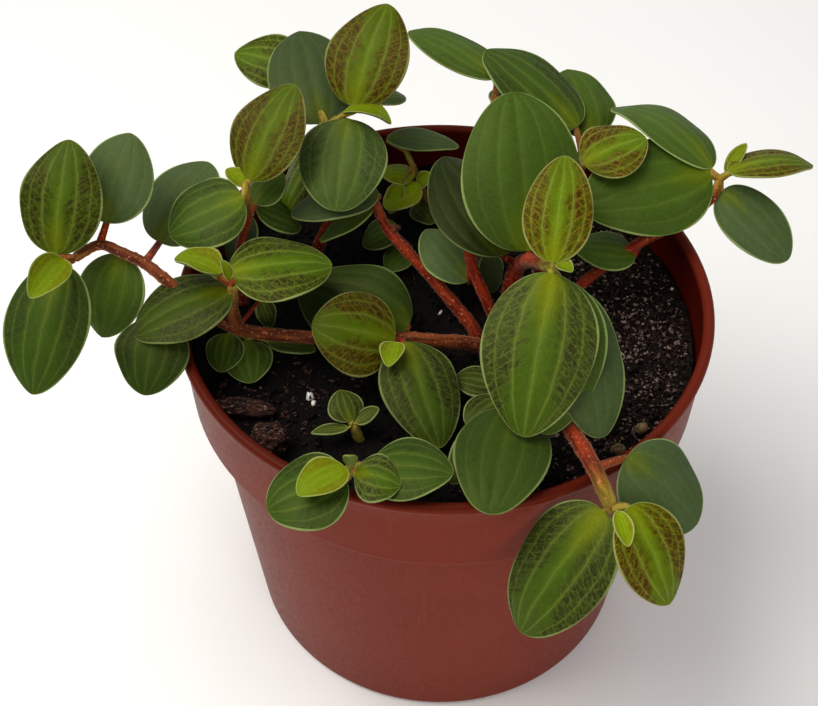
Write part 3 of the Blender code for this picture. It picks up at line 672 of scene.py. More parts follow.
class Graph:
    """A node tree, with short ways to add nodes and join them."""

    def __init__(self, tree):
        self.tree = tree

    def node(self, kind, inputs=None, **settings):
        """A new node, with settings and with values or sockets for its inputs."""
        node = self.tree.nodes.new("ShaderNode" + kind)
        for key, value in settings.items():
            setattr(node, key, value)
        for key, value in (inputs or {}).items():
            self.feed(node.inputs[key], value)
        return node

    def feed(self, socket, value):
        """Join a socket to an input, or set the input's own value."""
        if isinstance(value, bpy.types.NodeSocket):
            self.tree.links.new(value, socket)
        else:
            socket.default_value = value

    def math(self, operation, *values):
        """A Math node's result."""
        node = self.node("Math", operation=operation)
        for socket, value in zip(node.inputs, values):
            self.feed(socket, value)
        return node.outputs[0]

    def chain(self, operation, first, *others):
        """A value that others work on in turn."""
        for other in others:
            first = self.math(operation, first, other)
        return first

    def times(self, *values):
        """The values' product."""
        return self.chain("MULTIPLY", *values)

    def plus(self, *values):
        """The values' sum."""
        return self.chain("ADD", *values)

    def minus(self, first, second):
        """The first value less the second."""
        return self.math("SUBTRACT", first, second)

    def most(self, *values):
        """The highest of the values."""
        return self.chain("MAXIMUM", *values)

    def step(self, value, low, high, to_low=0.0, to_high=1.0):
        """A smooth step between two values, either way round."""
        node = self.node("MapRange", interpolation_type="SMOOTHSTEP")
        for socket, item in zip(node.inputs, (value, low, high, to_low, to_high)):
            self.feed(socket, item)
        return node.outputs[0]

    def mix(self, amount, first, second, blend="MIX"):
        """A mix of two colours."""
        node = self.node("Mix", data_type="RGBA", blend_type=blend)
        self.feed(node.inputs["Factor"], amount)
        self.feed(node.inputs[6], first)
        self.feed(node.inputs[7], second)
        return node.outputs[2]

    def noise(self, vector, scale, detail=2.0, roughness=0.5, distortion=0.0):
        """The value of a noise texture, about 0.5."""
        node = self.node("TexNoise", {"Vector": vector, "Scale": scale, "Detail": detail,
                                      "Roughness": roughness, "Distortion": distortion})
        return node.outputs[0]

    def cells(self, vector, scale, randomness, edges=True):
        """Flat cells: how far their edges are, or a colour for each."""
        node = self.node("TexVoronoi",
                         {"Vector": vector, "Scale": scale, "Randomness": randomness},
                         feature="DISTANCE_TO_EDGE" if edges else "F1", voronoi_dimensions="2D")
        return node.outputs["Distance" if edges else "Color"]

    def parts(self, vector):
        """The three values of a vector."""
        return self.node("SeparateXYZ", {"Vector": vector}).outputs

    def vector(self, x, y, z):
        """A vector from three values."""
        return self.node("CombineXYZ", {"X": x, "Y": y, "Z": z}).outputs[0]

    def stored(self, name):
        """A vector kept on the mesh's points."""
        return self.node("Attribute", attribute_name=name).outputs["Vector"]

    def place(self):
        """The point's place on the object, in metres."""
        return self.node("TexCoord").outputs["Object"]

    def use(self, group, inputs):
        """A placed copy of a shared group, as its outputs."""
        node = self.node("Group")
        node.node_tree = group
        for key, value in inputs.items():
            self.feed(node.inputs[key], value)
        return node.outputs


def new_group(name, inputs, outputs):
    """An empty shared group, with its graph and its two end nodes."""
    tree = bpy.data.node_groups.new(name, "ShaderNodeTree")
    for title, kind in inputs:
        tree.interface.new_socket(name=title, in_out="INPUT", socket_type="NodeSocket" + kind)
    for title, kind in outputs:
        tree.interface.new_socket(name=title, in_out="OUTPUT", socket_type="NodeSocket" + kind)
    start = tree.nodes.new("NodeGroupInput")
    end = tree.nodes.new("NodeGroupOutput")
    return tree, Graph(tree), start.outputs, end.inputs


def vein_group():
    """Where a leaf's veins, net, darker sides, margin and foot are, from its place values."""
    tree, g, start, end = new_group(
        "leaf_veins",
        [("Place", "Vector"), ("Tone", "Vector"), ("Spread", "Float")],
        [("Veins", "Float"), ("Net", "Float"), ("Sides", "Float"), ("Margin", "Float"),
         ("Foot", "Float"), ("Height", "Float")])
    across, along, half = g.parts(start["Place"])
    u, seed, _ = g.parts(start["Tone"])
    shift = g.times(seed, 40.0)
    flat = g.vector(g.plus(across, shift), along, 0.0)
    wobble = g.minus(g.noise(flat, 0.22, 2.0), 0.5)
    bent = g.plus(across, g.times(wobble, 0.8))
    away = g.math("ABSOLUTE", bent)
    side = g.math("ABSOLUTE", across)
    share = g.math("DIVIDE", side, g.most(half, 0.05))
    # Long veins: a fine pale line in a soft paler band, both finer toward the tip
    taper = g.times(g.step(u, 0.1, 1.0, 1.0, 0.45), g.step(half, 1.5, 7.5, 0.35, 1.0))
    lines = []
    for vein, core, band, strong in VEIN_LINES:
        gap = g.math("ABSOLUTE", g.minus(away, g.times(half, vein)))
        fine = g.step(gap, g.times(taper, core), 0.02)
        soft = g.times(g.step(gap, g.times(taper, band), 0.0), 0.5)
        lines.append(g.times(g.most(fine, soft), strong))
    veins = g.most(*lines)
    # The net: long cells that run out from the midrib toward the tip
    turned = math.radians(NET_TURN)
    hand = g.times(g.math("SIGN", across), 17.3)
    ragged = g.times(g.minus(g.noise(flat, 0.9, 2.0), 0.5), 1.6)
    outward = g.plus(g.times(away, math.cos(turned)), g.times(along, math.sin(turned)))
    onward = g.minus(g.times(along, math.cos(turned)), g.times(away, math.sin(turned)))
    cell = g.vector(g.plus(g.times(g.plus(outward, hand), 0.5), shift), g.plus(onward, ragged), 0.0)
    web = g.cells(cell, NET_CELLS, 0.9)
    own = g.cells(cell, NET_CELLS, 0.9, edges=False)
    small = g.cells(cell, SMALL_CELLS, 1.0)
    # Side veins: fine lines that leave the midrib and bend forward to the edge
    bend = g.plus(along, g.plus(hand, g.times(ragged, 0.7)))
    slope = g.minus(bend, g.times(away, 0.85))
    ribs = g.step(g.math("PINGPONG", g.math("DIVIDE", slope, RIB_GAP), 0.5), 0.11, 0.0)
    mesh = g.most(g.times(g.step(web, 0.17, 0.0), 0.7), g.times(g.step(small, 0.2, 0.0), 0.3))
    faint = g.step(g.noise(flat, 0.7, 2.0), 0.35, 0.6, 0.45, 1.0)
    net = g.times(g.most(ribs, mesh), faint)
    # The sides are dark cell by cell, less so at the foot and the tip
    pick = g.minus(g.parts(own)[0], 0.5)
    uneven = g.plus(g.times(pick, 0.14), g.times(wobble, 0.3))
    reach = g.plus(share, uneven)
    border = g.plus(g.step(u, 0.5, 1.0, 0.19, 0.75), start["Spread"])
    sides = g.times(g.step(g.minus(reach, border), -0.12, 0.24),
                    g.plus(0.9, g.times(pick, 0.3)), g.step(u, 0.0, 0.13, 0.35, 1.0))
    margin = g.step(g.minus(half, side), 0.45, 0.1)
    foot = g.step(g.plus(u, g.times(share, 0.55)), 0.5, 0.05)
    height = g.minus(g.times(g.noise(flat, 2.6, 3.0, 0.6), 0.4), g.times(veins, 0.3))
    for title, value in (("Veins", veins), ("Net", net), ("Sides", sides), ("Margin", margin),
                         ("Foot", foot), ("Height", height)):
        tree.links.new(value, end[title])
    return tree


def mottle_group():
    """Broad and fine unevenness that every surface here shares, about 0.5."""
    tree, g, start, end = new_group(
        "mottle", [("Place", "Vector"), ("Broad", "Float"), ("Fine", "Float")],
        [("Patches", "Float"), ("Grain", "Float")])
    patches = g.noise(start["Place"], start["Broad"], 3.0, 0.55)
    grain = g.noise(start["Place"], start["Fine"], 4.0, 0.65)
    tree.links.new(patches, end["Patches"])
    tree.links.new(grain, end["Grain"])
    return tree


def new_material(name, **constants):
    """A material, with its graph and its main shader; constants go on the shader's sockets."""
    material = bpy.data.materials.new(name)
    material.use_nodes = True
    shader = material.node_tree.nodes["Principled BSDF"]
    for key, value in constants.items():
        shader.inputs[key.replace("_", " ")].default_value = value
    return material, Graph(material.node_tree), shader


def add_bump(g, shader, height, distance):
    """Relief of a height in metres on a shader."""
    bump = g.node("Bump", {"Height": height, "Distance": distance, "Strength": 1.0})
    g.feed(shader.inputs["Normal"], bump.outputs[0])


def blade_material(veins, mottle):
    """The upper face of every leaf: bright strip, dark sides in cells, pale net, veins, margin."""
    material, g, shader = new_material("leaf_upper", Specular_IOR_Level=0.13,
                                       Specular_Tint=(0.95, 1.0, 0.4, 1.0))
    net, glow, bloom = g.parts(g.stored("marks"))
    spread_out = g.step(net, 0.95, 0.2, 0.0, 0.3)
    marks = g.use(veins, {"Place": g.stored("place"), "Tone": g.stored("tone"),
                          "Spread": spread_out})
    patch = g.use(mottle, {"Place": g.place(), "Broad": 170.0, "Fine": 1400.0})
    strip, dark, line = g.stored("strip"), g.stored("side"), g.stored("line")
    u, seed, leaf_tone_and_painted_light = g.parts(g.stored("tone"))
    cloud = g.step(patch["Patches"], 0.36, 0.66)
    green = g.mix(g.times(g.minus(1.0, cloud), 0.35), strip, g.mix(0.5, strip, dark))
    web = g.times(marks["Net"], net)
    cells = g.times(marks["Sides"], g.minus(1.0, web))
    green = g.mix(g.step(u, 0.35, 0.95, 0.0, 0.4), green, g.mix(0.5, green, dark))
    base = g.mix(cells, green, dark)
    lit = g.times(web, g.plus(0.14, g.times(marks["Sides"], 0.6)))
    base = g.mix(lit, base, line)
    pale = g.mix(0.55, g.mix(1.0, strip, (1.8, 1.8, 1.5, 1.0), "MULTIPLY"), srgb(126, 134, 58))
    bold = g.times(marks["Veins"], g.step(net, 0.2, 0.95, 0.24, 0.66))
    base = g.mix(bold, base, pale)
    base = g.mix(g.times(marks["Foot"], glow, 0.85), base, srgb(116, 122, 0))
    # Painted sheen: the grey haze is partly the leaves' own bloom and partly a painted reflection
    # of the surround
    bloom_and_sheen = g.times(bloom, g.step(patch["Patches"], 0.3, 0.62, 0.5, 1.0))
    base = g.mix(g.times(bloom_and_sheen, g.step(marks["Foot"], 0.6, 0.0)), base, srgb(74, 90, 62))
    base = g.mix(g.times(marks["Margin"], 0.8), base, g.mix(0.7, line, srgb(150, 166, 100)))
    # Each leaf's brightness: a random tone, fine grain, and its light factor, which is partly
    # painted light and shade
    light = g.plus(0.94, g.times(seed, 0.12))
    fleck = g.step(patch["Grain"], 0.35, 0.7, 0.92, 1.1)
    light = g.times(light, fleck, leaf_tone_and_painted_light)
    base = g.mix(1.0, base, g.vector(light, light, light), "MULTIPLY")
    g.feed(shader.inputs["Base Color"], base)
    rough = g.plus(0.36, g.times(patch["Grain"], 0.16))
    g.feed(shader.inputs["Roughness"], g.plus(rough, g.times(bloom_and_sheen, 0.15)))
    add_bump(g, shader, g.minus(marks["Height"], g.times(web, 0.35)), 0.0001)
    return material


def under_material(veins, mottle):
    """The pale underside of every leaf, flushed with red in its darker sides."""
    material, g, shader = new_material("leaf_under", Specular_IOR_Level=0.2,
                                       Specular_Tint=(1.0, 1.0, 0.6, 1.0))
    marks = g.use(veins, {"Place": g.stored("place"), "Tone": g.stored("tone"), "Spread": 0.1})
    patch = g.use(mottle, {"Place": g.place(), "Broad": 120.0, "Fine": 1100.0})
    net = g.parts(g.stored("marks"))[0]
    base = g.mix(g.step(patch["Patches"], 0.35, 0.65), srgb(76, 98, 52), srgb(92, 112, 62))
    base = g.mix(0.35, base, g.stored("strip"))
    base = g.mix(g.times(marks["Sides"], net, 0.55), base, srgb(108, 58, 34))
    base = g.mix(g.times(marks["Net"], 0.25), base, srgb(66, 86, 40))
    base = g.mix(g.times(marks["Veins"], 0.5), base, srgb(124, 128, 72))
    base = g.mix(g.times(marks["Foot"], 0.35), base, srgb(140, 100, 46))
    g.feed(shader.inputs["Base Color"], base)
    g.feed(shader.inputs["Roughness"], g.step(patch["Grain"], 0.3, 0.75, 0.45, 0.62))
    add_bump(g, shader, g.times(marks["Height"], -1.0), 0.00018)
    return material


def stem_material(mottle):
    """Red stems, streaked and pale-dotted, that turn yellow-brown toward the leaves."""
    material, g, shader = new_material("stem_skin", Specular_IOR_Level=0.15,
                                       Specular_Tint=(1.0, 0.7, 0.5, 1.0),
                                       Sheen_Weight=0.22, Sheen_Roughness=0.4,
                                       Sheen_Tint=(1.0, 0.62, 0.45, 1.0))
    x, y, walk = g.parts(g.stored("place"))
    long = g.vector(x, y, g.times(walk, 0.16))
    patch = g.use(mottle, {"Place": long, "Broad": 0.9, "Fine": 3.2})
    ripe, aged, _ = g.parts(g.stored("marks"))
    streak = g.step(patch["Patches"], 0.38, 0.62)
    red = g.mix(aged, g.mix(streak, srgb(92, 18, 8), srgb(146, 42, 18)),
                g.mix(streak, srgb(62, 30, 14), srgb(104, 62, 30)))
    tip = g.mix(streak, srgb(110, 98, 24), srgb(146, 138, 48))
    base = g.mix(g.step(ripe, 0.15, 0.9), red, tip)
    dots = g.step(g.noise(g.place(), 1500.0, 1.0), 0.62, 0.70)
    base = g.mix(g.times(dots, 0.55), base, srgb(206, 122, 84))
    g.feed(shader.inputs["Base Color"], base)
    g.feed(shader.inputs["Roughness"], g.step(patch["Grain"], 0.3, 0.75, 0.4, 0.58))
    add_bump(g, shader, g.plus(g.times(patch["Grain"], 0.6), dots), 0.00008)
    return material


def hair_material():
    """Fine whitish hairs."""
    material, g, shader = new_material("stem_hairs", Roughness=0.6, Specular_IOR_Level=0.3)
    tint = g.noise(g.place(), 400.0)
    g.feed(shader.inputs["Base Color"], g.mix(tint, srgb(160, 104, 76), srgb(200, 158, 126)))
    return material


def pot_material(mottle):
    """Terracotta-coloured plastic: faint clouds, fine scuffs and a dusty bloom, with painted shade
    inside the wall and on the rim's top and a painted highlight on the rim's right side.
    """
    material, g, shader = new_material("pot_plastic", Specular_IOR_Level=0.1,
                                       Specular_Tint=(1.0, 0.65, 0.5, 1.0))
    place = g.place()
    patch = g.use(mottle, {"Place": place, "Broad": 45.0, "Fine": 800.0})
    base = g.mix(g.step(patch["Patches"], 0.35, 0.65), srgb(103, 30, 10), srgb(108, 33, 12))
    x, y, z = g.parts(place)
    long = g.vector(x, y, g.times(z, 0.12))
    scuffs = g.step(g.noise(long, 420.0, 4.0, 0.7, 0.4), 0.62, 0.72)
    base = g.mix(g.times(scuffs, 0.07), base, srgb(166, 92, 70))
    specks = g.step(g.noise(place, 1900.0, 2.0), 0.70, 0.76)
    base = g.mix(g.times(specks, 0.2), base, srgb(190, 120, 96))
    radius = g.math("SQRT", g.plus(g.times(x, x), g.times(y, y)))
    # Painted shade inside the wall, down to the soil and deepest low down, and on the rim's top
    inside = g.step(radius, (RIM_RADIUS - 1.8) * MM, (RIM_RADIUS - 2.2) * MM)
    below = g.step(z, (POT_HEIGHT - 3.0) * MM, (POT_HEIGHT - 0.5) * MM, 1.0, 0.35)
    high = g.step(z, (SOIL_TOP - 6) * MM, (SOIL_TOP - 4) * MM)
    base = g.mix(g.times(inside, below, high, 0.9), base, srgb(70, 10, 3))
    top = g.step(z, (POT_HEIGHT - 2.2) * MM, (POT_HEIGHT - 1.0) * MM)
    top = g.times(top, g.step(radius, (RIM_RADIUS + 0.3) * MM, (RIM_RADIUS - 0.5) * MM))
    # Painted highlight: the rim's top is lighter toward the right side and dark as painted shade
    # elsewhere
    rim = g.mix(g.step(x, 0.02, 0.055), srgb(66, 14, 5), srgb(98, 30, 18))
    base = g.mix(g.times(top, 0.85), base, rim)
    g.feed(shader.inputs["Base Color"], base)
    g.feed(shader.inputs["Roughness"], g.step(patch["Grain"], 0.3, 0.75, 0.38, 0.5))
    add_bump(g, shader, g.plus(g.times(patch["Grain"], 0.6), scuffs), 0.00003)
    return material


def soil_material(mottle):
    """Moist peat: near black, with brown crumbs and a few pale grains; the right side is painted
    lighter where it is lit and the left darker as painted shade, and the pale flecks are partly
    painted highlights.
    """
    material, g, shader = new_material("soil_peat", Roughness=0.85, Specular_IOR_Level=0.1)
    patch = g.use(mottle, {"Place": g.place(), "Broad": 140.0, "Fine": 1300.0})
    own = g.parts(g.stored("tone"))[0]
    x = g.parts(g.place())[0]
    # Painted light and shade: lighter toward the lit right side, darker at the left, partly also
    # the peat's own tone
    side = g.plus(x, g.times(patch["Patches"], 0.02))
    lit_side_and_own_tone = g.step(side, 0.005, 0.04, 0.15, 1.0)
    crumbs = g.times(lit_side_and_own_tone, g.step(patch["Grain"], 0.42, 0.68))
    base = g.mix(crumbs, srgb(5, 4, 4), srgb(48, 34, 29))
    # Pale flecks on the crumbs: partly their own pale grains, partly painted highlights
    pale_flecks_and_glints = g.times(own, lit_side_and_own_tone, g.step(patch["Grain"], 0.42, 0.57))
    base = g.mix(pale_flecks_and_glints, base, srgb(174, 146, 132))
    g.feed(shader.inputs["Base Color"], base)
    add_bump(g, shader, patch["Grain"], 0.0006)
    return material


def fibre_material(mottle):
    """Bark, old root and loose fibres: dark red-brown with paler streaks and pits."""
    material, g, shader = new_material("bark_fibre", Roughness=0.8, Specular_IOR_Level=0.12)
    x, y, z = g.parts(g.place())
    streaky = g.vector(g.times(x, 0.25), y, z)
    patch = g.use(mottle, {"Place": streaky, "Broad": 900.0, "Fine": 2600.0})
    base = g.mix(g.step(patch["Patches"], 0.36, 0.64), srgb(15, 8, 7), srgb(54, 28, 21))
    base = g.mix(g.step(patch["Grain"], 0.55, 0.68), base, srgb(150, 112, 98))
    g.feed(shader.inputs["Base Color"], base)
    add_bump(g, shader, patch["Grain"], 0.0004)
    return material


def grain_material(name, low, high):
    """A pale mineral grain."""
    material, g, shader = new_material(name, Roughness=0.7, Specular_IOR_Level=0.3)
    tint = g.noise(g.place(), 900.0, 3.0)
    g.feed(shader.inputs["Base Color"], g.mix(g.step(tint, 0.35, 0.65), low, high))
    add_bump(g, shader, tint, 0.0002)
    return material


def revolve(profile, sides):
    """Points and faces of a closed turned shape from a closed loop of (radius, height)."""
    profile = np.asarray(profile, float)
    turn = around(sides)
    x = profile[:, 0][None] * np.cos(turn)[:, None]
    y = profile[:, 0][None] * np.sin(turn)[:, None]
    z = np.broadcast_to(profile[:, 1][None], x.shape)
    points = np.stack([x, y, z], axis=-1).reshape(-1, 3)
    count = len(profile)
    i, j = np.meshgrid(np.arange(sides), np.arange(count), indexing="ij")
    after, below = (i + 1) % sides, (j + 1) % count
    faces = np.stack([i * count + j, i * count + below, after * count + below,
                      after * count + j], axis=-1).reshape(-1, 4)
    return points, faces


def arc(middle, radius, start, end, steps):
    """Points of an arc in the profile's plane; angles in degrees, 0 outward and 90 up."""
    turns = np.radians(np.linspace(start, end, steps))
    return [(middle[0] + radius * math.cos(t), middle[1] + radius * math.sin(t)) for t in turns]


def outer_radius(z):
    """The pot body's outer radius below the collar."""
    step = POT_HEIGHT - COLLAR_DROP
    top = COLLAR_LOW - COLLAR_STEP
    return BASE_RADIUS + (top - BASE_RADIUS) * z / step


def make_pot(material):
    """The pot: rolled rim, collar with a soft step, tapered body and drain holes."""
    top, step = POT_HEIGHT, POT_HEIGHT - COLLAR_DROP
    under = outer_radius(step - 0.9)
    outside = arc((RIM_RADIUS - RIM_ROUND, top - RIM_ROUND), RIM_ROUND, 90, -40, 12)
    outside += [(COLLAR_HIGH + 0.1, top - 2.7), (COLLAR_HIGH, top - 3.2)]
    outside += [(COLLAR_HIGH + (COLLAR_LOW - COLLAR_HIGH) * k / 4, top - 3.2
                 + (step + 4.2 - top) * k / 4) for k in range(1, 5)]
    outside += arc((COLLAR_LOW - 0.8, step + 0.8), 0.8, 0, -80, 6)
    outside += [(under + 0.9, step - 0.15)]
    outside += arc((under + 0.8, step - 0.95), 0.8, 100, 180, 5)
    outside += [(outer_radius(z), z) for z in np.linspace(step - 4, 4, 8)]
    outside += arc((outer_radius(2) - 2.0, 2.0), 2.0, 0, -90, 8)
    outside += [(BASE_RADIUS - 6, 0), (20, 0), (1.0, 0)]
    inside = [(1.0, FLOOR), (20, FLOOR), (BASE_RADIUS - 6, FLOOR)]
    inside += [(outer_radius(z) - WALL, z) for z in np.linspace(4, step - 3, 6)]
    inside += [(COLLAR_LOW - WALL, step + 0.4), (COLLAR_HIGH - WALL - 0.2, top - 3.4)]
    inside += arc((RIM_RADIUS - RIM_BEAD + RIM_ROUND, top - RIM_ROUND), RIM_ROUND, 190, 100, 7)
    points, faces = revolve(outside + inside, POT_SIDES)
    shell = Shell()
    shell.add(points, [faces[:, ::-1]], 0)
    pot = shell.piece("pot_shell", [material])
    cutters = []
    for number in range(DRAIN_HOLES):
        turn = 2 * math.pi * number / DRAIN_HOLES
        place = (DRAIN_CIRCLE * MM * math.cos(turn), DRAIN_CIRCLE * MM * math.sin(turn), 0)
        bpy.ops.mesh.primitive_cylinder_add(vertices=40, radius=DRAIN_RADIUS * MM,
                                            depth=FLOOR * 4 * MM, location=place)
        cutters.append(bpy.context.object)
        modifier = pot.modifiers.new("Drain", "BOOLEAN")
        modifier.object = cutters[-1]
        modifier.solver = "EXACT"
    bpy.context.view_layer.update()
    graph = bpy.context.evaluated_depsgraph_get()
    mesh = bpy.data.meshes.new_from_object(pot.evaluated_get(graph))
    pot.modifiers.clear()
    pot.data = mesh
    for cutter in cutters:
        bpy.data.objects.remove(cutter)
    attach(pot, "root")
    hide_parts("pot")


def soil_height(x, y):
    """The height of the soil's top at places, in millimetres."""
    flat = [noise.noise(Vector((a, b, 0)) / 22) * 1.1 + noise.noise(Vector((a, b, 5)) / 6.6) * 0.8
            + noise.noise(Vector((a, b, 9)) / 2.1) * 0.7 for a, b in zip(x, y)]
    return SOIL_TOP + 0.7 + np.array(flat)


def make_ball(detail):
    """A plain ball, one in radius, as points and faces."""
    bpy.ops.mesh.primitive_ico_sphere_add(subdivisions=detail, radius=1.0)
    ball = bpy.context.object
    points = np.array([v.co[:] for v in ball.data.vertices])
    faces = np.array([p.vertices[:] for p in ball.data.polygons])
    bpy.data.objects.remove(ball)
    return points, faces


def make_lumps(detail):
    """A few knobbly grains to place again and again, as points and faces."""
    made = []
    for kind in range(LUMP_KINDS):
        points, faces = make_ball(detail)
        swell = [noise.noise(Vector(p) * 1.3 + Vector((kind * 7.3, 0, 0))) for p in points]
        fine = [noise.noise(Vector(p) * 3.1 + Vector((0, kind * 5.1, 0))) for p in points]
        made.append((points * (1 + 0.55 * np.array(swell) + 0.3 * np.array(fine))[:, None], faces))
    return made


def scatter(draw, count):
    """Random places on the soil, as x and y."""
    radius = np.sqrt(draw.uniform(0, (SOIL_RADIUS - 1.2) ** 2, count))
    turn = draw.uniform(0, 2 * math.pi, count)
    return radius * np.cos(turn), radius * np.sin(turn)


def turned_lump(draw, points, size, squash):
    """A grain's points, squashed, turned at random and scaled."""
    points = points * np.array((1.15, draw.uniform(0.4, 0.9), squash))
    turn = draw.uniform(0, 2 * math.pi, 2)[0]
    tilt = draw.normal(0, 0.5)
    ct, st = math.cos(tilt), math.sin(tilt)
    lean = np.array(((1, 0, 0), (0, ct, -st), (0, st, ct)))
    return points @ spin(turn).T @ lean.T * size


def add_grains(shell, draw, area, count, sizes, kinds, squash, slot, pale=0.0, sink=0.25):
    """Grains strewn over an area of the soil's top, up to pale in tone."""
    x, y = area(draw, count)
    z = soil_height(x, y)
    for a, b, c in zip(x, y, z):
        points, faces = kinds[int(draw.integers(len(kinds)))]
        size = draw.uniform(*sizes) * draw.uniform(0.6, 1.0)
        moved = turned_lump(draw, points, size, squash) + (a, b, c + size * (squash - sink))
        shell.add(moved, [faces], slot, tone=(pale * draw.uniform()**2, 0, 0))


def right_side(draw, count):
    """Random places on the open soil at the right and the front."""
    turn = draw.normal(-0.25, 0.7, count)
    radius = np.sqrt(draw.uniform(22**2, (SOIL_RADIUS - 1.5) ** 2, count))
    return radius * np.cos(turn), radius * np.sin(turn)


def left_side(draw, count):
    """Random places around the bark at the left."""
    x, y = draw.normal(-34, 9, count), draw.normal(-22, 6, count)
    inward = np.maximum(np.hypot(x, y) / (SOIL_RADIUS - 3), 1)
    return x / inward, y / inward


def make_soil(peat, fibre, perlite):
    """The soil: an uneven top with crumbs, fibres and a few white grains, over a plain plug."""
    draw = np.random.default_rng(7)
    shell = Shell()
    turn = around(SOIL_SIDES)
    radius = SOIL_RADIUS * np.sqrt(np.linspace(0.0004, 1, SOIL_RINGS))
    x = (radius[:, None] * np.cos(turn)).ravel()
    y = (radius[:, None] * np.sin(turn)).ravel()
    z = soil_height(x, y)
    top = np.stack([x, y, z], axis=1)
    low = SOIL_TOP - SOIL_DEPTH
    skirt = top[-SOIL_SIDES:] * (0.985, 0.985, 0) + (0, 0, low)
    points = np.concatenate([top, skirt, [(0, 0, z[0])], [(0, 0, low)]])
    walls, fans = tube_faces(SOIL_RINGS + 1, SOIL_SIDES)
    shell.add(points, [walls[:, ::-1], fans[:, ::-1]], 0)
    coarse, small = make_lumps(2), make_lumps(1)
    # The grains at the right get paler tones than those over the whole bed: partly their own tone,
    # partly painted light on the lit side
    add_grains(shell, draw, scatter, 240, (0.5, 1.5), coarse, 0.6, 0, pale=0.12)
    add_grains(shell, draw, scatter, 900, (0.3, 0.8), small, 0.7, 0, pale=0.2)
    add_grains(shell, draw, right_side, 780, (0.4, 1.0), coarse, 0.5, 0, pale=0.9)
    add_grains(shell, draw, right_side, 2600, (0.22, 0.62), small, 0.5, 0, pale=1.4)
    add_grains(shell, draw, left_side, 160, (0.3, 1.0), coarse, 0.4, 1)
    add_grains(shell, draw, scatter, 22, (0.3, 0.65), small, 0.8, 2, sink=0.05)
    for a, b, size in WHITE_GRAINS:
        moved = turned_lump(draw, coarse[0][0], size, 0.7)
        shell.add(moved + (a, b, soil_height([a], [b])[0] + size * 0.5), [coarse[0][1]], 2)
    for number in range(FIBRES):
        a, b = (right_side if number % 2 else scatter)(draw, 1)
        heading = draw.uniform(0, 2 * math.pi)
        bend = draw.normal(0, 0.35, 4).cumsum() + heading
        hop = draw.uniform(0.6, 1.8)
        xs = a[0] + np.concatenate([[0], np.cumsum(np.cos(bend) * hop)])
        ys = b[0] + np.concatenate([[0], np.cumsum(np.sin(bend) * hop)])
        if np.hypot(xs, ys).max() > SOIL_RADIUS - 0.8:
            continue
        zs = soil_height(xs, ys) + draw.uniform(0.1, 0.7, 5)
        path = smooth_route(np.stack([xs, ys, zs], axis=1), 3)
        sweep(shell, path, np.full(len(path), draw.uniform(0.07, 0.2)), FIBRE_SIDES, 1)
    soil = shell.piece("soil_bed", [peat, fibre, perlite])
    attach(soil, "root")
    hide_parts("soil")


def make_loose(name, middle, half, turn, material):
    """A loose piece on the soil: a knobbly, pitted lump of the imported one's size."""
    points, faces = make_ball(5)
    shift = Vector(middle)
    rough = [noise.fractal(Vector(p) * 1.6 + shift, 0.7, 2.0, 5) for p in points]
    pits = [max(0, noise.noise(Vector(p) * 3.4 + shift) - 0.1) for p in points]
    scale = 0.94 + 0.13 * np.array(rough) - 0.3 * np.array(pits)
    points = points * scale[:, None] * np.array(half)
    shell = Shell()
    shell.add(points @ spin(math.radians(turn)).T + np.array(middle), [faces], 0)
    piece = shell.piece(name + "_rough", [material])
    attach(piece, "root")
    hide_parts(name)


def aim_at(thing, place, aim):
    """Put a light or a camera at a place, turned to an aim, both in millimetres."""
    bpy.context.scene.collection.objects.link(thing)
    thing.location = Vector(place) * MM
    direction = Vector(aim) - Vector(place)
    thing.rotation_euler = direction.to_track_quat("-Z", "Y").to_euler()


def add_light(name, place, aim, energy, size):
    """A soft, square, slightly warm light, placed and aimed in millimetres."""
    data = bpy.data.lights.new(name, "AREA")
    data.energy = energy
    data.size = size * MM
    data.color = (1.0, 0.97, 0.9)
    aim_at(bpy.data.objects.new(name, data), place, aim)


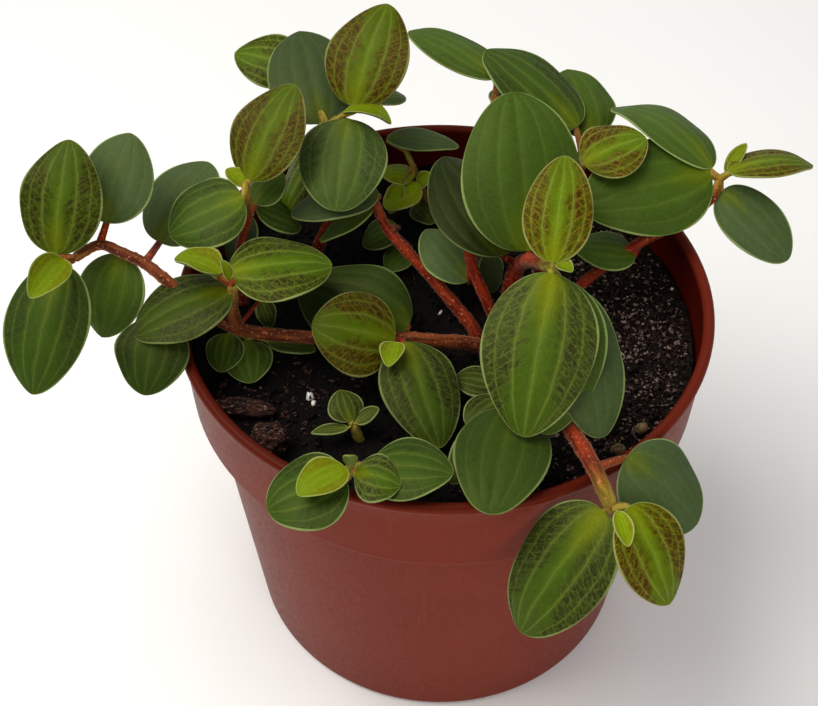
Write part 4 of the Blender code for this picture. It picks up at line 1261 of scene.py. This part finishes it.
def make_studio():
    """A pale floor, a soft bright surround and three soft lights."""
    bpy.ops.mesh.primitive_plane_add(size=6.0, location=(0, 0, 0))
    floor = bpy.context.object
    floor.name = "floor"
    material, g, shader = new_material("floor_white", Roughness=0.8, Specular_IOR_Level=0.2)
    tint = g.noise(g.place(), 3.0)
    g.feed(shader.inputs["Base Color"], g.mix(tint, srgb(246, 246, 247), srgb(250, 250, 251)))
    floor.data.materials.append(material)
    world = bpy.data.worlds.new("surround")
    world.use_nodes = True
    back = world.node_tree.nodes["Background"]
    back.inputs["Color"].default_value = (1.0, 1.0, 1.0, 1.0)
    back.inputs["Strength"].default_value = SURROUND
    bpy.context.scene.world = world
    add_light("key", (-300, 20, 640), (0, 0, 90), energy=4.35, size=520)
    add_light("fill", (170, -560, 240), (0, 0, 60), energy=1.3, size=420)
    add_light("back", (160, 480, 420), (0, 0, 90), energy=0.3, size=380)


def make_camera():
    """The camera, at the photo's angle."""
    data = bpy.data.cameras.new("camera")
    data.sensor_width = SENSOR
    data.lens = FOCAL_PIXELS / PHOTO_WIDTH * SENSOR
    data.clip_start = 0.01
    camera = bpy.data.objects.new("camera", data)
    aim_at(camera, CAMERA_PLACE, CAMERA_AIM)
    bpy.context.scene.camera = camera
    bpy.context.scene.view_settings.view_transform = "Standard"


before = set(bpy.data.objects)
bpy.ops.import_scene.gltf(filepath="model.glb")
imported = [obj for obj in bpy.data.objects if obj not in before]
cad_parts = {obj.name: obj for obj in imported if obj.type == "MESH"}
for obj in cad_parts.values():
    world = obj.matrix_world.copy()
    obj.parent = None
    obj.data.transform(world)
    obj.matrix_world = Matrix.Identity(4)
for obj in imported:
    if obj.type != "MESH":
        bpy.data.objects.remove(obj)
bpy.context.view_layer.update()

VEINS = vein_group()
MOTTLE = mottle_group()
FOLIAGE = [blade_material(VEINS, MOTTLE), under_material(VEINS, MOTTLE), stem_material(MOTTLE),
           hair_material()]
PEAT = soil_material(MOTTLE)
FIBRE = fibre_material(MOTTLE)
PERLITE = grain_material("perlite", srgb(190, 188, 180), srgb(235, 233, 226))
GRIT = grain_material("grit", srgb(106, 84, 54), srgb(154, 130, 90))

make_studio()
make_camera()
make_pot(pot_material(MOTTLE))
make_soil(PEAT, FIBRE, PERLITE)
for place, plant in enumerate(STEMS):
    make_stem(plant, place, FOLIAGE)
for title, centre, sizes, angle in LOOSE:
    finish, kind = (GRIT, "pebble") if title.startswith("pebble") else (FIBRE, "bark")
    make_loose(title, centre, sizes, angle, finish)

bpy.context.view_layer.update()
